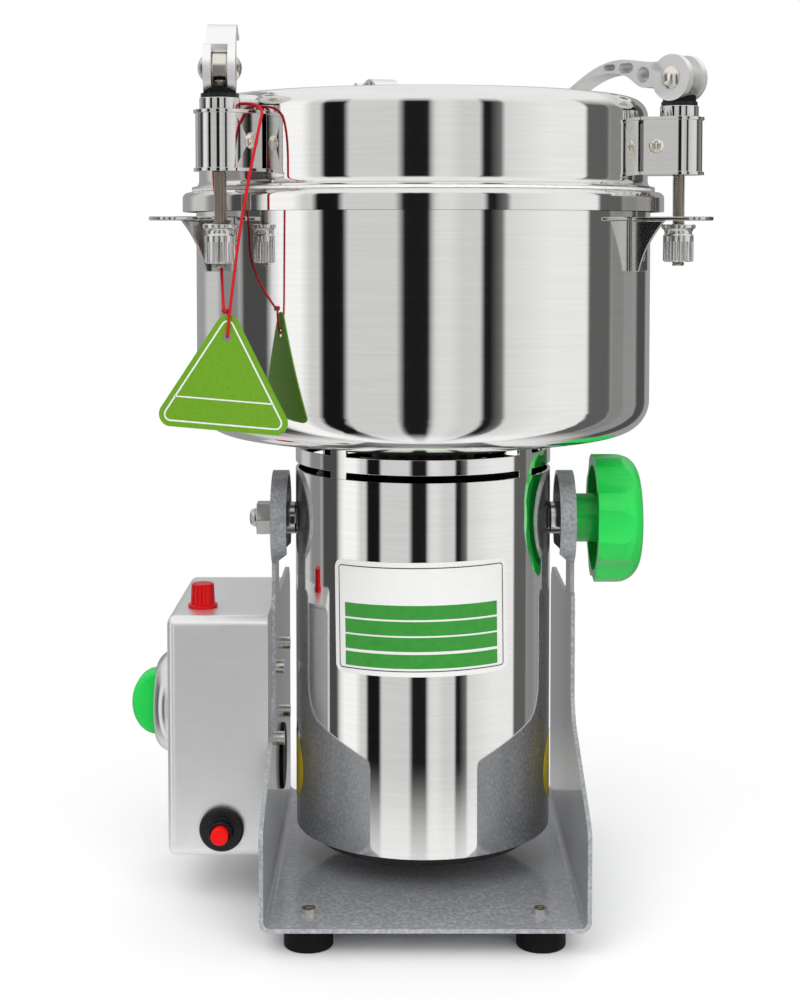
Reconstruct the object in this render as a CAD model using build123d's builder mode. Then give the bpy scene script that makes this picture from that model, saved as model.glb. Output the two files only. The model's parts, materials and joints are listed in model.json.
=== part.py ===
from build123d import *
import os
from math import cos, pi, radians, sin, sqrt, tan

# Swing powder grinder: a bowl with a clamped lid on a motor that tips forward in a bent sheet bracket.
# Millimetres. Z is up from the bench, -Y is the front, and the motor's axis is the Z axis at rest.

os.makedirs("parts", exist_ok=True)

# Fits
overrun = 2.0
fit_gap = 0.1
running_gap = 0.05
moving_gap = 0.3

# Feet and their screws
foot_r = 12.5
foot_h = 13.0
foot_edge = 1.2
foot_inset_x = 23.4
foot_inset_y = 21.4
foot_washer_r = 9.8
foot_washer_h = 1.1
foot_screw_r = 2.0
foot_screw_grip = 8.0
foot_head_r = 3.6
foot_head_h = 2.6
foot_socket_r = 1.9
foot_socket_depth = 1.5

# Bent bracket with its two ears
sheet = 2.2
swing_gap = 12.5
bracket_half_d = 110.0
bend_r = 5.5
wing_z = 64.6
wing_corner_r = 8.0
sweep_z = 99.0
sweep_r = 22.0
post_front = 18.0
shoulder_z = 164.0
shoulder_r = 4.5
neck_half_w = 12.5
neck_r = 11.0
rear_top_z = 157.0
rear_corner_r = 14.0
pivot_z = 202.7
ear_r = 26.0
ear_flange = 8.5
ear_taper = 6.0

# Control box on the left upright
box_w = 53.3
box_depth = 113.0
box_y = 11.5
box_z = 28.8
box_h = 128.5
box_wall = 2.0
box_corner_r = 5.5
cover_t = 2.0
box_screw_r = 2.5
box_screw_head_r = 3.8
box_screw_head_h = 3.4
box_screw_grip = 3.0
box_screw_y = 28.0
box_screw_up_share = 0.5541
box_screw_span_y = 56.0
box_screw_span_share = 0.3113
grommet_r = 16.0
grommet_bore_r = 10.0
grommet_skin = 1.5
grommet_lip = 2.5
grommet_lip_t = 2.0
grommet_up_share = 0.2584

# Pilot lamp on the box's top
lamp_inset_x = 16.6
lamp_inset_y = 25.5
lamp_flange_r = 8.0
lamp_flange_h = 2.0
lamp_foot_r = 6.6
lamp_top_r = 6.0
lamp_h = 13.0
lamp_edge = 0.8
lamp_body_r = 5.5
lamp_body_h = 24.0

# Reset breaker on the box's front
breaker_inset_x = 28.8
breaker_up = 16.0
bezel_r = 11.75
bezel_t = 4.0
bezel_edge = 1.6
breaker_collar_r = 6.3
breaker_collar_h = 6.5
reset_r = 4.65
reset_h = 4.0
reset_travel = 3.5
reset_edge = 0.7
breaker_body_r = 8.0
breaker_body_h = 28.0

# Timer on the box's left face
timer_up_share = 0.54
timer_skirt_r = 28.0
timer_skirt_edge = 2.2
timer_face_r = 18.0
timer_skirt_t = 12.2
timer_grip_w = 13.0
timer_grip_h = 13.6
timer_spindle_r = 3.0
timer_body_w = 42.0
timer_body_t = 27.0
timer_bush_r = 5.0

# Cable gland on the box's back
gland_up = 29.2
gland_inset_x = 26.0
gland_nut_r = 10.5
gland_nut_h = 6.0
gland_nose_r = 8.0
gland_nose_h = 9.0
gland_bore_r = 4.0
gland_thread_h = 8.0

# Motor shell and vent collar
shell_r = 69.5
shell_wall = 1.5
shell_z = 36.4
shell_h = 194.8
vent_low_h = 3.7
vent_band_h = 8.1
vent_high_h = 8.6
vent_post_w = 10.8
vent_post_angle = 50.0
bottom_inset = 9.5
bottom_z = 30.0
bottom_lip_h = 5.0
bottom_wall = 2.0
bottom_slots = 8
bottom_slot_w = 5.0
bottom_slot_near = 22.0
bottom_slot_inset = 12.0

# Pivot, clamp stud and clamp knob
pivot_r = 5.0
pivot_head_r = 8.5
pivot_head_t = 6.0
pivot_spacer_r = 8.8
pivot_nut_r = 9.8
pivot_nut_t = 8.5
pivot_end = 4.0
stud_nut_t = 6.0
knob_hub_r = 13.2
knob_hub_h = 22.0
knob_r = 35.0
knob_skirt_h = 25.0
knob_rim_h = 12.0
knob_hub_in = 11.3
knob_wall = 3.6
knob_lobes = 8
knob_scallop_r = 26.0
knob_scallop_depth = 2.6

# Motor inside
bell_inset = 5.5
bell_t = 6.6
bell_hub_r = 28.0
bell_hub_h = 13.0
top_bearing_r = 20.0
top_bearing_h = 12.0
low_bearing_r = 16.0
low_bearing_h = 10.0
low_bell_z = 42.0
low_bell_h = 45.0
low_bell_wall = 5.0
low_bell_floor = 6.0
low_bell_hub_r = 22.0
low_bell_hub_h = 14.0
low_bell_windows = 4
stator_z = 100.0
stator_h = 70.0
stator_depth = 30.9
stator_yoke = 13.0
stator_pole_angle = 100.0
coil_t = 11.0
coil_gap = 2.75
coil_end_h = 12.0
air_gap = 1.0
armature_slots = 12
armature_slot_w = 5.0
armature_slot_depth = 11.0
winding_inset = 3.0
winding_end_h = 13.0
commutator_r = 21.0
commutator_h = 24.0
commutator_z = 60.0
commutator_step = 3.0
brush_w = 10.0
brush_t = 6.4
brush_len = 24.0
brush_wear_gap = 0.3
holder_r = 8.0
holder_start = 25.0
fan_inset = 11.5
fan_h = 15.0
fan_disc_t = 2.0
fan_hub_r = 13.0
fan_blades = 9
fan_blade_t = 2.0
fan_gap = 1.5
shaft_r = 9.0
shaft_low_r = 6.0
shaft_top_r = 8.5
shaft_end_below = 1.0

# Grinding blades on the shaft's top
blade_seat = 10.0
blade_bore_r = 6.0
blade_t = 3.0
blade_reach = 98.0
blade_w = 30.0
blade_tip_w = 18.0
blade_hub_r = 21.0
blade_tip_len = 30.0
blade_tip_rise = 16.0
blade_spacer_h = 13.0
blade_spacer_r = 11.0
blade_nut_r = 10.5
blade_nut_h = 9.0
shaft_thread_out = 3.0
seal_r = 16.0
seal_top_r = 12.0
seal_h = 7.0
bowl_screw_orbit = 45.0
bowl_screw_r = 2.5
bowl_screw_head_r = 5.0
bowl_screw_head_h = 2.5
bowl_screw_grip = 5.0

# Bowl
bowl_r = 122.5
bowl_wall = 1.8
bowl_corner_r = 17.5
bowl_h = 128.4
rim_out = 7.2
rim_h = 10.3
rim_round = 3.2

# Lid
lid_inset = 1.6
lid_wall = 1.8
lid_h = 49.6
lid_shoulder_r = 9.5
lip_out = 3.9
lip_rise = 5.0
lip_t = 1.4
seal_ring_t = 1.2
seal_ring_w = 4.2
seal_ring_drop = 7.0

# Latches round the lid
latch_names = ("left", "right", "rear")
latch_angles = (223.5, 343.5, 103.5)
latch_headings = (93.5, 134.0, 283.5)
latch_raises = (21.5, 0.0, 0.0)
latch_reach = 17.6
housing_r = 12.0
housing_up = 8.6
housing_h = 29.9
housing_gap = 1.5
housing_sheet = 1.6
housing_rim = 1.0
housing_screw_in = 10.0
housing_screw_head_r = 4.1
housing_screw_head_h = 2.3
housing_screw_r = 2.0
housing_screw_len = 7.0
neck_spacer_r = 10.0
neck_spacer_h = 5.9
saddle_r = 9.4
saddle_floor = 2.0
rod_r = 3.2
rod_eye_r = 7.4
rod_eye_w = 7.4
rod_tail = 2.0
cam_r = 12.0
cam_t = 3.9
cam_slot = 8.0
cam_slot_r = 8.4
lever_pin_r = 3.0
pin_head_r = 5.8
pin_head_h = 2.6
pin_head_taper = 35.0
cam_slot_open = 5.0
lever_top = (
    (8.2, 8.8),
    (20.2, 9.8),
    (33.5, 11.4),
    (46.0, 9.6),
    (58.0, 4.6),
    (68.2, -1.2),
    (80.0, -6.0),
)
lever_low = (
    (79.6, -7.8),
    (71.2, -5.0),
    (66.0, -2.2),
    (57.0, 1.9),
    (47.2, 4.4),
    (36.7, 4.3),
    (30.7, 2.8),
    (24.7, -0.8),
    (19.5, -3.9),
    (14.2, -4.2),
    (10.9, -4.2),
)
lever_hole_at = (18.2, 2.5)
lever_hole_r = 4.2
lever_slot_at = (29.8, 6.7)
lever_slot_r = 2.7
lever_slot_len = 4.4
lever_end_slot_at = (40.9, 7.7)
lever_end_slot_r = 1.65
lever_end_slot_len = 4.6
lever_w = 14.7
nut_drop = 17.0
nut_h = 19.5
nut_flange_r = 8.85
nut_flange_h = 2.2
nut_cone_h = 2.4
nut_plain_h = 4.0
nut_r = 8.0
nut_flutes = 20
nut_flute_r = 0.75

# Shelf brackets on the bowl, one turn-lock step behind each rod
lock_step = 10.0
shelf_drop = 13.2
shelf_t = 2.0
shelf_half_w = 11.5
shelf_reach = 38.5
shelf_end_r = 8.0
shelf_slot_w = 7.6
shelf_back_h = 28.0
shelf_web_reach = 26.0
shelf_plate_t = 1.8

# Hang tag and its string
tag_w = 74.6
tag_h = 62.3
tag_t = 1.0
tag_corner_r = 6.0
tag_hole_r = 2.2
tag_hole_drop = 16.6
tag_turn = 3.5
tag_yaw = 12.0
tag_x = -96.3
tag_y = -107.0
tag_hole_z = 308.0
string_r = 0.75
string_front = (
    (-96.0, -104.3, 320.0),
    (-96.3, -105.2, 308.6),
    (-96.3, -108.8, 308.6),
    (-91.0, -108.5, 353.0),
    (-86.8, -107.5, 378.0),
    (-81.0, -105.5, 408.0),
)
string_neck_z = 422.2
string_over_front = (-13.6, 17.8)
string_over_back = (-12.4, -18.5)
string_back = (
    (-106.3, -78.8, 387.0),
    (-101.9, -84.4, 366.0),
    (-101.2, -84.9, 338.0),
    (-98.2, -104.2, 320.0),
)
bend_share = 0.3

# Places worked out from the sizes above
base_z = foot_h + foot_washer_h
base_top = base_z + sheet
bracket_half_w = shell_r + swing_gap
foot_span_x = (bracket_half_w - foot_inset_x) * 2
foot_span_y = (bracket_half_d - foot_inset_y) * 2
box_x = -bracket_half_w - box_w / 2
box_left = -bracket_half_w - box_w
box_front = box_y - box_depth / 2
box_back = box_y + box_depth / 2
box_top = box_z + box_h
box_screw_z = box_z + box_h * box_screw_up_share
box_screw_span_z = box_h * box_screw_span_share
grommet_z = box_z + box_h * grommet_up_share
timer_z = box_z + box_h * timer_up_share
shell_bore_r = shell_r - shell_wall
bottom_r = shell_r - bottom_inset
bottom_slot_far = bottom_r - bottom_slot_inset
bell_r = shell_r - bell_inset
fan_r = shell_r - fan_inset
shell_top = shell_z + shell_h
collar_h = vent_low_h + vent_band_h + vent_high_h
bowl_z = shell_top + collar_h
floor_z = bowl_z + bowl_wall
rim_z = bowl_z + bowl_h
rim_r = bowl_r + rim_out
lid_r = bowl_r - lid_inset
lip_r = lid_r + lip_out
latch_orbit = lid_r + latch_reach
lid_z = rim_z + moving_gap + seal_ring_t
lid_top = rim_z + lid_h
housing_z = rim_z + housing_up
housing_top = housing_z + housing_h
neck_top = housing_top + neck_spacer_h
saddle_z = neck_top + fit_gap
pin_z = saddle_z + saddle_floor + moving_gap + cam_r
nut_top = rim_z - nut_drop
nut_z = nut_top - nut_h
nut_plain_z = nut_top - nut_flange_h - nut_cone_h - nut_plain_h
rod_z = nut_z - rod_tail
shelf_top = rim_z - shelf_drop
ear_inner = bracket_half_w - sheet
bell_z = bowl_z - bell_t
stator_r = shell_bore_r - fit_gap
stator_bore_r = stator_r - stator_depth
armature_r = stator_bore_r - air_gap
winding_r = armature_r - winding_inset
brush_z = commutator_z + commutator_h / 2
blade_z = floor_z + blade_seat
blade_stack = blade_t + blade_spacer_h + blade_t
shaft_z = low_bell_z - shaft_end_below

foot_places = GridLocations(foot_span_x, foot_span_y, 2, 2)


# Rubber feet with their washers and screws
with BuildPart() as feet:
    with foot_places:
        Cylinder(foot_r, foot_h, align=(Align.CENTER, Align.CENTER, Align.MIN))
    fillet(feet.edges().filter_by(GeomType.CIRCLE).group_by(Axis.Z)[0], foot_edge)
    with BuildSketch(Plane.XY.offset(foot_h)):
        with foot_places:
            Circle(foot_screw_r + fit_gap)
    extrude(amount=-foot_screw_grip, mode=Mode.SUBTRACT)
feet.part.label = "rubber_feet"
export_step(feet.part, "parts/rubber_feet.step")

with BuildPart() as foot_washers:
    with BuildSketch(Plane.XY.offset(foot_h)):
        with foot_places:
            Circle(foot_washer_r)
            Circle(foot_screw_r + fit_gap, mode=Mode.SUBTRACT)
    extrude(amount=foot_washer_h)
foot_washers.part.label = "foot_washers"
export_step(foot_washers.part, "parts/foot_washers.step")

with BuildPart() as foot_screws:
    with BuildSketch(Plane.XY.offset(base_top)):
        with foot_places:
            Circle(foot_head_r)
    extrude(amount=foot_head_h)
    with BuildSketch(Plane.XY.offset(base_top + foot_head_h - foot_socket_depth)):
        with foot_places:
            RegularPolygon(foot_socket_r, 6)
    extrude(amount=foot_socket_depth, mode=Mode.SUBTRACT)
    with BuildSketch(Plane.XY.offset(foot_h - foot_screw_grip + moving_gap)):
        with foot_places:
            Circle(foot_screw_r)
    extrude(amount=base_top - foot_h + foot_screw_grip - moving_gap)
foot_screws.part.label = "foot_screws"
export_step(foot_screws.part, "parts/foot_screws.step")


# Bracket: a bent channel cut to the side outline, with a flange pressed round each ear
flange_z = pivot_z - sqrt(ear_r**2 - neck_half_w**2)

with BuildPart() as bracket:
    with BuildSketch(Plane.XZ) as channel:
        with BuildLine():
            Polyline(
                (-bracket_half_w, pivot_z + ear_r),
                (-bracket_half_w, base_z),
                (bracket_half_w, base_z),
                (bracket_half_w, pivot_z + ear_r),
                close=True,
            )
        make_face()
        fillet(channel.vertices().group_by(Axis.Y)[0], bend_r)
        with BuildLine():
            FilletPolyline(
                (-ear_inner, pivot_z + ear_r + overrun),
                (-ear_inner, base_top),
                (ear_inner, base_top),
                (ear_inner, pivot_z + ear_r + overrun),
                radius=bend_r - sheet,
            )
            Line((-ear_inner, pivot_z + ear_r + overrun), (ear_inner, pivot_z + ear_r + overrun))
        make_face(mode=Mode.SUBTRACT)
    extrude(amount=bracket_half_d, both=True)
    with BuildSketch(Plane.YZ) as outline:
        with BuildLine():
            Polyline(
                (-bracket_half_d, base_z),
                (-bracket_half_d, wing_z),
                (-post_front, sweep_z),
                (-post_front, shoulder_z),
                (-neck_half_w, shoulder_z),
                (-neck_half_w, pivot_z),
                (neck_half_w, pivot_z),
                (neck_half_w, rear_top_z),
                (bracket_half_d, rear_top_z),
                (bracket_half_d, base_z),
                close=True,
            )
        make_face()
        fillet(outline.vertices().sort_by_distance((-bracket_half_d, wing_z))[0], wing_corner_r)
        fillet(outline.vertices().sort_by_distance((-post_front, sweep_z))[0], sweep_r)
        fillet(outline.vertices().sort_by_distance((-post_front, shoulder_z))[0], shoulder_r)
        fillet(outline.vertices().sort_by_distance((neck_half_w, rear_top_z))[0], neck_r)
        fillet(outline.vertices().sort_by_distance((bracket_half_d, rear_top_z))[0], rear_corner_r)
        with Locations((0, pivot_z)):
            Circle(ear_r)
    extrude(amount=bracket_half_w + overrun, both=True, mode=Mode.INTERSECT)
    for side in (-1, 1):
        with BuildSketch(Plane.YZ.offset(side * bracket_half_w)):
            with Locations((0, pivot_z)):
                Circle(ear_r)
                Circle(ear_r - sheet, mode=Mode.SUBTRACT)
            with Locations((0, flange_z)):
                Rectangle(ear_r * 2, ear_r, align=(Align.CENTER, Align.MAX), mode=Mode.SUBTRACT)
        extrude(amount=-side * ear_flange)
    with BuildSketch(Plane.XZ):
        with BuildLine():
            Polyline(
                (ear_inner, flange_z),
                (bracket_half_w - ear_flange - overrun, flange_z),
                (bracket_half_w - ear_flange - overrun, flange_z + ear_taper * (1 + overrun / ear_flange)),
                close=True,
            )
        make_face()
        mirror(about=Plane.YZ)
    extrude(amount=ear_r, both=True, mode=Mode.SUBTRACT)
    with BuildSketch(Plane.YZ):
        with Locations((0, pivot_z)):
            Circle(pivot_r + running_gap)
    extrude(amount=bracket_half_w + overrun, both=True, mode=Mode.SUBTRACT)
    with BuildSketch(Plane.XY.offset(base_z)):
        with foot_places:
            Circle(foot_screw_r + fit_gap)
    extrude(amount=sheet, mode=Mode.SUBTRACT)
    with BuildSketch(Plane.YZ.offset(-bracket_half_w)):
        with Locations((box_screw_y, box_screw_z)):
            with GridLocations(box_screw_span_y, box_screw_span_z, 2, 2):
                Circle(box_screw_r + fit_gap)
        with Locations((box_screw_y, grommet_z)):
            Circle(grommet_r)
    extrude(amount=sheet, mode=Mode.SUBTRACT)
bracket.part.label = "tilt_bracket"
export_step(bracket.part, "parts/tilt_bracket.step")


# Control box: a shell open towards the upright, closed by a cover plate
lamp_x = box_left + lamp_inset_x
lamp_y = box_front + lamp_inset_y
breaker_x = box_left + breaker_inset_x
breaker_z = box_z + breaker_up
gland_x = box_left + gland_inset_x
gland_z = box_z + gland_up

with BuildPart() as box_shell:
    with Locations((box_x, box_y, box_z + box_h / 2)):
        Box(box_w, box_depth, box_h)
    fillet(box_shell.edges().filter_by(Axis.X), box_corner_r)
    fillet(box_shell.faces().sort_by(Axis.X)[0].edges(), box_corner_r - box_wall / 2)
    with BuildSketch(Plane.YZ.offset(-bracket_half_w)):
        with Locations((box_y, box_z + box_h / 2)):
            RectangleRounded(box_depth - box_wall * 2, box_h - box_wall * 2, box_corner_r - box_wall)
    extrude(amount=box_wall - box_w, mode=Mode.SUBTRACT)
    with BuildSketch(Plane.YZ.offset(box_left)):
        with Locations((box_y, timer_z)):
            Circle(timer_bush_r + fit_gap)
    extrude(amount=box_wall, mode=Mode.SUBTRACT)
    with BuildSketch(Plane.XZ.offset(-box_front)):
        with Locations((breaker_x, breaker_z)):
            Circle(breaker_body_r + fit_gap)
    extrude(amount=-box_wall, mode=Mode.SUBTRACT)
    with BuildSketch(Plane.XZ.offset(-box_back)):
        with Locations((gland_x, gland_z)):
            Circle(gland_nose_r - box_wall + fit_gap)
    extrude(amount=box_wall, mode=Mode.SUBTRACT)
    with BuildSketch(Plane.XY.offset(box_top)):
        with Locations((lamp_x, lamp_y)):
            Circle(lamp_body_r + fit_gap)
    extrude(amount=-box_wall, mode=Mode.SUBTRACT)
box_shell.part.label = "control_box_shell"
export_step(box_shell.part, "parts/control_box_shell.step")

with BuildPart() as box_cover:
    with BuildSketch(Plane.YZ.offset(-bracket_half_w)):
        with Locations((box_y, box_z + box_h / 2)):
            RectangleRounded(
                box_depth - (box_wall + fit_gap) * 2,
                box_h - (box_wall + fit_gap) * 2,
                box_corner_r - box_wall,
            )
        with Locations((box_screw_y, box_screw_z)):
            with GridLocations(box_screw_span_y, box_screw_span_z, 2, 2):
                Circle(box_screw_r + fit_gap, mode=Mode.SUBTRACT)
        with Locations((box_screw_y, grommet_z)):
            Circle(grommet_r, mode=Mode.SUBTRACT)
    extrude(amount=-cover_t)
box_cover.part.label = "control_box_cover"
export_step(box_cover.part, "parts/control_box_cover.step")

with BuildPart() as box_screws:
    with BuildSketch(Plane.YZ.offset(-ear_inner)):
        with Locations((box_screw_y, box_screw_z)):
            with GridLocations(box_screw_span_y, box_screw_span_z, 2, 2):
                Circle(box_screw_head_r)
    extrude(amount=box_screw_head_h)
    with BuildSketch(Plane.YZ.offset(-ear_inner)):
        with Locations((box_screw_y, box_screw_z)):
            with GridLocations(box_screw_span_y, box_screw_span_z, 2, 2):
                Circle(box_screw_r)
    extrude(amount=-sheet - cover_t - box_screw_grip)
box_screws.part.label = "box_screws"
export_step(box_screws.part, "parts/box_screws.step")

with BuildPart() as grommet:
    with BuildSketch(Plane.YZ.offset(-bracket_half_w - cover_t)):
        with Locations((box_screw_y, grommet_z)):
            Circle(grommet_r - fit_gap)
    extrude(amount=cover_t + sheet)
    with BuildSketch(Plane.YZ.offset(-ear_inner)):
        with Locations((box_screw_y, grommet_z)):
            Circle(grommet_r + grommet_lip)
    extrude(amount=grommet_lip_t)
    fillet(grommet.edges().filter_by(GeomType.CIRCLE).sort_by(Axis.X)[-1], grommet_lip_t / 2)
    with BuildSketch(Plane.YZ.offset(-bracket_half_w - cover_t)):
        with Locations((box_screw_y, grommet_z)):
            Circle(grommet_bore_r)
    extrude(amount=cover_t + sheet + grommet_lip_t - grommet_skin, mode=Mode.SUBTRACT)
grommet.part.label = "cable_grommet"
export_step(grommet.part, "parts/cable_grommet.step")


# Pilot lamp
with BuildPart() as lamp:
    with BuildSketch(Plane.XZ) as lamp_half:
        with BuildLine():
            Polyline(
                (0, box_top),
                (lamp_flange_r, box_top),
                (lamp_flange_r, box_top + lamp_flange_h),
                (lamp_foot_r, box_top + lamp_flange_h),
                (lamp_top_r, box_top + lamp_h),
                (0, box_top + lamp_h),
                close=True,
            )
        make_face()
        fillet(lamp_half.vertices().sort_by_distance((lamp_top_r, box_top + lamp_h))[0], lamp_edge)
        fillet(lamp_half.vertices().sort_by_distance((lamp_flange_r, box_top + lamp_flange_h))[0], lamp_edge)
    revolve(axis=Axis.Z)
    add(lamp.part.moved(Location((lamp_x, lamp_y, 0))), mode=Mode.REPLACE)
    with BuildSketch(Plane.XY.offset(box_top)):
        with Locations((lamp_x, lamp_y)):
            Circle(lamp_body_r)
    extrude(amount=-lamp_body_h)
    with BuildSketch(Plane.XY.offset(box_top - box_wall)):
        with Locations((lamp_x, lamp_y)):
            RegularPolygon(lamp_flange_r, 6)
    extrude(amount=-box_wall)
lamp.part.label = "pilot_lamp"
export_step(lamp.part, "parts/pilot_lamp.step")


# Reset breaker: a body behind the panel, a bezel with a collar, and the button in it
with BuildPart() as breaker_body:
    with BuildSketch(Plane.XZ.offset(-box_front)):
        with Locations((breaker_x, breaker_z)):
            Circle(breaker_body_r)
    extrude(amount=-breaker_body_h)
breaker_body.part.label = "breaker_body"
export_step(breaker_body.part, "parts/breaker_body.step")

bezel_front = box_front - bezel_t
collar_front = bezel_front - breaker_collar_h

with BuildPart() as breaker_bezel:
    with BuildSketch(Plane.XZ.offset(-box_front)):
        with Locations((breaker_x, breaker_z)):
            Circle(bezel_r)
    extrude(amount=bezel_t)
    fillet(breaker_bezel.edges().filter_by(GeomType.CIRCLE).sort_by(Axis.Y)[0], bezel_edge)
    with BuildSketch(Plane.XZ.offset(-bezel_front)):
        with Locations((breaker_x, breaker_z)):
            Circle(breaker_collar_r)
    extrude(amount=breaker_collar_h)
    with BuildSketch(Plane.XZ.offset(-collar_front)):
        with Locations((breaker_x, breaker_z)):
            Circle(reset_r + moving_gap)
    extrude(amount=-bezel_t - breaker_collar_h, mode=Mode.SUBTRACT)
breaker_bezel.part.label = "breaker_bezel"
export_step(breaker_bezel.part, "parts/breaker_bezel.step")

with BuildPart() as reset_button:
    with BuildSketch(Plane.XZ.offset(reset_h - collar_front)):
        with Locations((breaker_x, breaker_z)):
            Circle(reset_r)
    extrude(amount=reset_travel + moving_gap - reset_h - bezel_t - breaker_collar_h)
    fillet(reset_button.edges().filter_by(GeomType.CIRCLE).sort_by(Axis.Y)[0], reset_edge)
reset_button.part.label = "reset_button"
export_step(reset_button.part, "parts/reset_button.step")


# Timer: body inside, and a skirt with a grip bar on its spindle outside
timer_out = box_left - moving_gap

with BuildPart() as timer_body:
    with BuildSketch(Plane.YZ.offset(box_left + box_wall)):
        with Locations((box_y, timer_z)):
            RectangleRounded(timer_body_w, timer_body_w, box_corner_r - box_wall)
    extrude(amount=timer_body_t)
    with BuildSketch(Plane.YZ.offset(box_left)):
        with Locations((box_y, timer_z)):
            Circle(timer_bush_r)
    extrude(amount=box_wall)
    with BuildSketch(Plane.YZ.offset(box_left)):
        with Locations((box_y, timer_z)):
            Circle(timer_spindle_r + running_gap)
    extrude(amount=box_wall + timer_body_t / 2, mode=Mode.SUBTRACT)
timer_body.part.label = "timer_body"
export_step(timer_body.part, "parts/timer_body.step")

with BuildPart() as timer_skirt:
    with BuildSketch(Plane.XY) as skirt_half:
        with BuildLine():
            skirt_base = Polyline(
                (timer_out - timer_skirt_t, 0),
                (timer_out, 0),
                (timer_out, timer_skirt_r),
                (timer_out - timer_skirt_edge, timer_skirt_r),
            )
            skirt_dome = JernArc(
                start=skirt_base @ 1,
                tangent=(-1, 0),
                radius=timer_skirt_t - timer_skirt_edge,
                arc_size=90,
            )
            Line(skirt_dome @ 1, (timer_out - timer_skirt_t, 0))
        make_face()
    revolve(axis=Axis.X)
    with BuildSketch(Plane.YZ.offset(timer_out)):
        Circle(timer_spindle_r + fit_gap)
    extrude(amount=-timer_skirt_t, mode=Mode.SUBTRACT)
    add(timer_skirt.part.moved(Location((0, box_y, timer_z))), mode=Mode.REPLACE)
timer_skirt.part.label = "timer_skirt"
export_step(timer_skirt.part, "parts/timer_skirt.step")

timer_face = timer_out - timer_skirt_t

with BuildPart() as timer_grip:
    with BuildSketch(Plane.XZ.offset(-box_y)):
        with Locations((timer_face, timer_z)):
            Ellipse(timer_grip_h, timer_face_r)
            Rectangle(timer_grip_h * 2, timer_face_r * 2, align=(Align.MIN, Align.CENTER), mode=Mode.SUBTRACT)
    extrude(amount=timer_grip_w / 2, both=True)
    fillet(timer_grip.edges().filter_by(GeomType.ELLIPSE), timer_grip_w / 4)
    with BuildSketch(Plane.YZ.offset(timer_face)):
        with Locations((box_y, timer_z)):
            Circle(timer_spindle_r)
    extrude(amount=timer_skirt_t + moving_gap + box_wall + timer_body_t / 3)
timer_grip.part.label = "timer_grip"
export_step(timer_grip.part, "parts/timer_grip.step")


# Gland for the mains lead, on the back of the box
with BuildPart() as gland:
    with BuildSketch(Plane.XZ.offset(-box_back)):
        with Locations((gland_x, gland_z)):
            RegularPolygon(gland_nut_r, 6)
    extrude(amount=-gland_nut_h)
    with BuildSketch(Plane.XZ.offset(-box_back - gland_nut_h)):
        with Locations((gland_x, gland_z)):
            Circle(gland_nose_r)
    extrude(amount=-gland_nose_h, taper=8)
    with BuildSketch(Plane.XZ.offset(-box_back)):
        with Locations((gland_x, gland_z)):
            Circle(gland_nose_r - box_wall)
    extrude(amount=gland_thread_h)
    with BuildSketch(Plane.XZ.offset(-box_back + gland_thread_h)):
        with Locations((gland_x, gland_z)):
            Circle(gland_bore_r)
    extrude(amount=-gland_thread_h - gland_nut_h - gland_nose_h, mode=Mode.SUBTRACT)
gland.part.label = "mains_gland"
export_step(gland.part, "parts/mains_gland.step")


# Motor shell with the two holes on the pivot's axis
with BuildPart() as shell:
    with BuildSketch(Plane.XY.offset(shell_z)):
        Circle(shell_r)
        Circle(shell_bore_r, mode=Mode.SUBTRACT)
    extrude(amount=shell_h)
    with BuildSketch(Plane.YZ):
        with Locations((0, pivot_z)):
            Circle(pivot_r + fit_gap)
    extrude(amount=shell_r + overrun, both=True, mode=Mode.SUBTRACT)
shell.part.label = "motor_shell"
export_step(shell.part, "parts/motor_shell.step")

# Vent collar: a band held between two rows of openings by four posts
with BuildPart() as collar:
    with BuildSketch(Plane.XY.offset(shell_top)):
        Circle(shell_r)
        Circle(shell_bore_r, mode=Mode.SUBTRACT)
    extrude(amount=collar_h)
    for vent_z, vent_h in (
        (shell_top, vent_low_h),
        (shell_top + vent_low_h + vent_band_h, vent_high_h),
    ):
        with BuildSketch(Plane.XY.offset(vent_z)):
            Circle(shell_r + overrun)
            Circle(shell_bore_r - overrun, mode=Mode.SUBTRACT)
            with PolarLocations(shell_r, 4, start_angle=vent_post_angle):
                Rectangle(overrun * 6, vent_post_w, mode=Mode.SUBTRACT)
        extrude(amount=vent_h, mode=Mode.SUBTRACT)
collar.part.label = "vent_collar"
export_step(collar.part, "parts/vent_collar.step")

cover_r = shell_bore_r - fit_gap

with BuildPart() as bottom_cover:
    with BuildSketch(Plane.XZ) as cover_half:
        with BuildLine():
            Polyline(
                (0, bottom_z),
                (bottom_r, bottom_z),
                (cover_r, shell_z),
                (cover_r, shell_z + bottom_lip_h),
                (cover_r - bottom_wall, shell_z + bottom_lip_h),
                (cover_r - bottom_wall, shell_z),
                (bottom_r - bottom_wall / 2, bottom_z + bottom_wall),
                (0, bottom_z + bottom_wall),
                close=True,
            )
        make_face()
    revolve(axis=Axis.Z)
    with BuildSketch(Plane.XY.offset(bottom_z)):
        with PolarLocations((bottom_slot_near + bottom_slot_far) / 2, bottom_slots):
            SlotCenterToCenter(bottom_slot_far - bottom_slot_near, bottom_slot_w)
    extrude(amount=bottom_wall, mode=Mode.SUBTRACT)
bottom_cover.part.label = "bottom_cover"
export_step(bottom_cover.part, "parts/bottom_cover.step")


# Pivot on the left, clamp stud and knob on the right
pivot_seat = sqrt(shell_bore_r**2 - pivot_head_r**2) - fit_gap
nut_face = bracket_half_w + moving_gap

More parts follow.
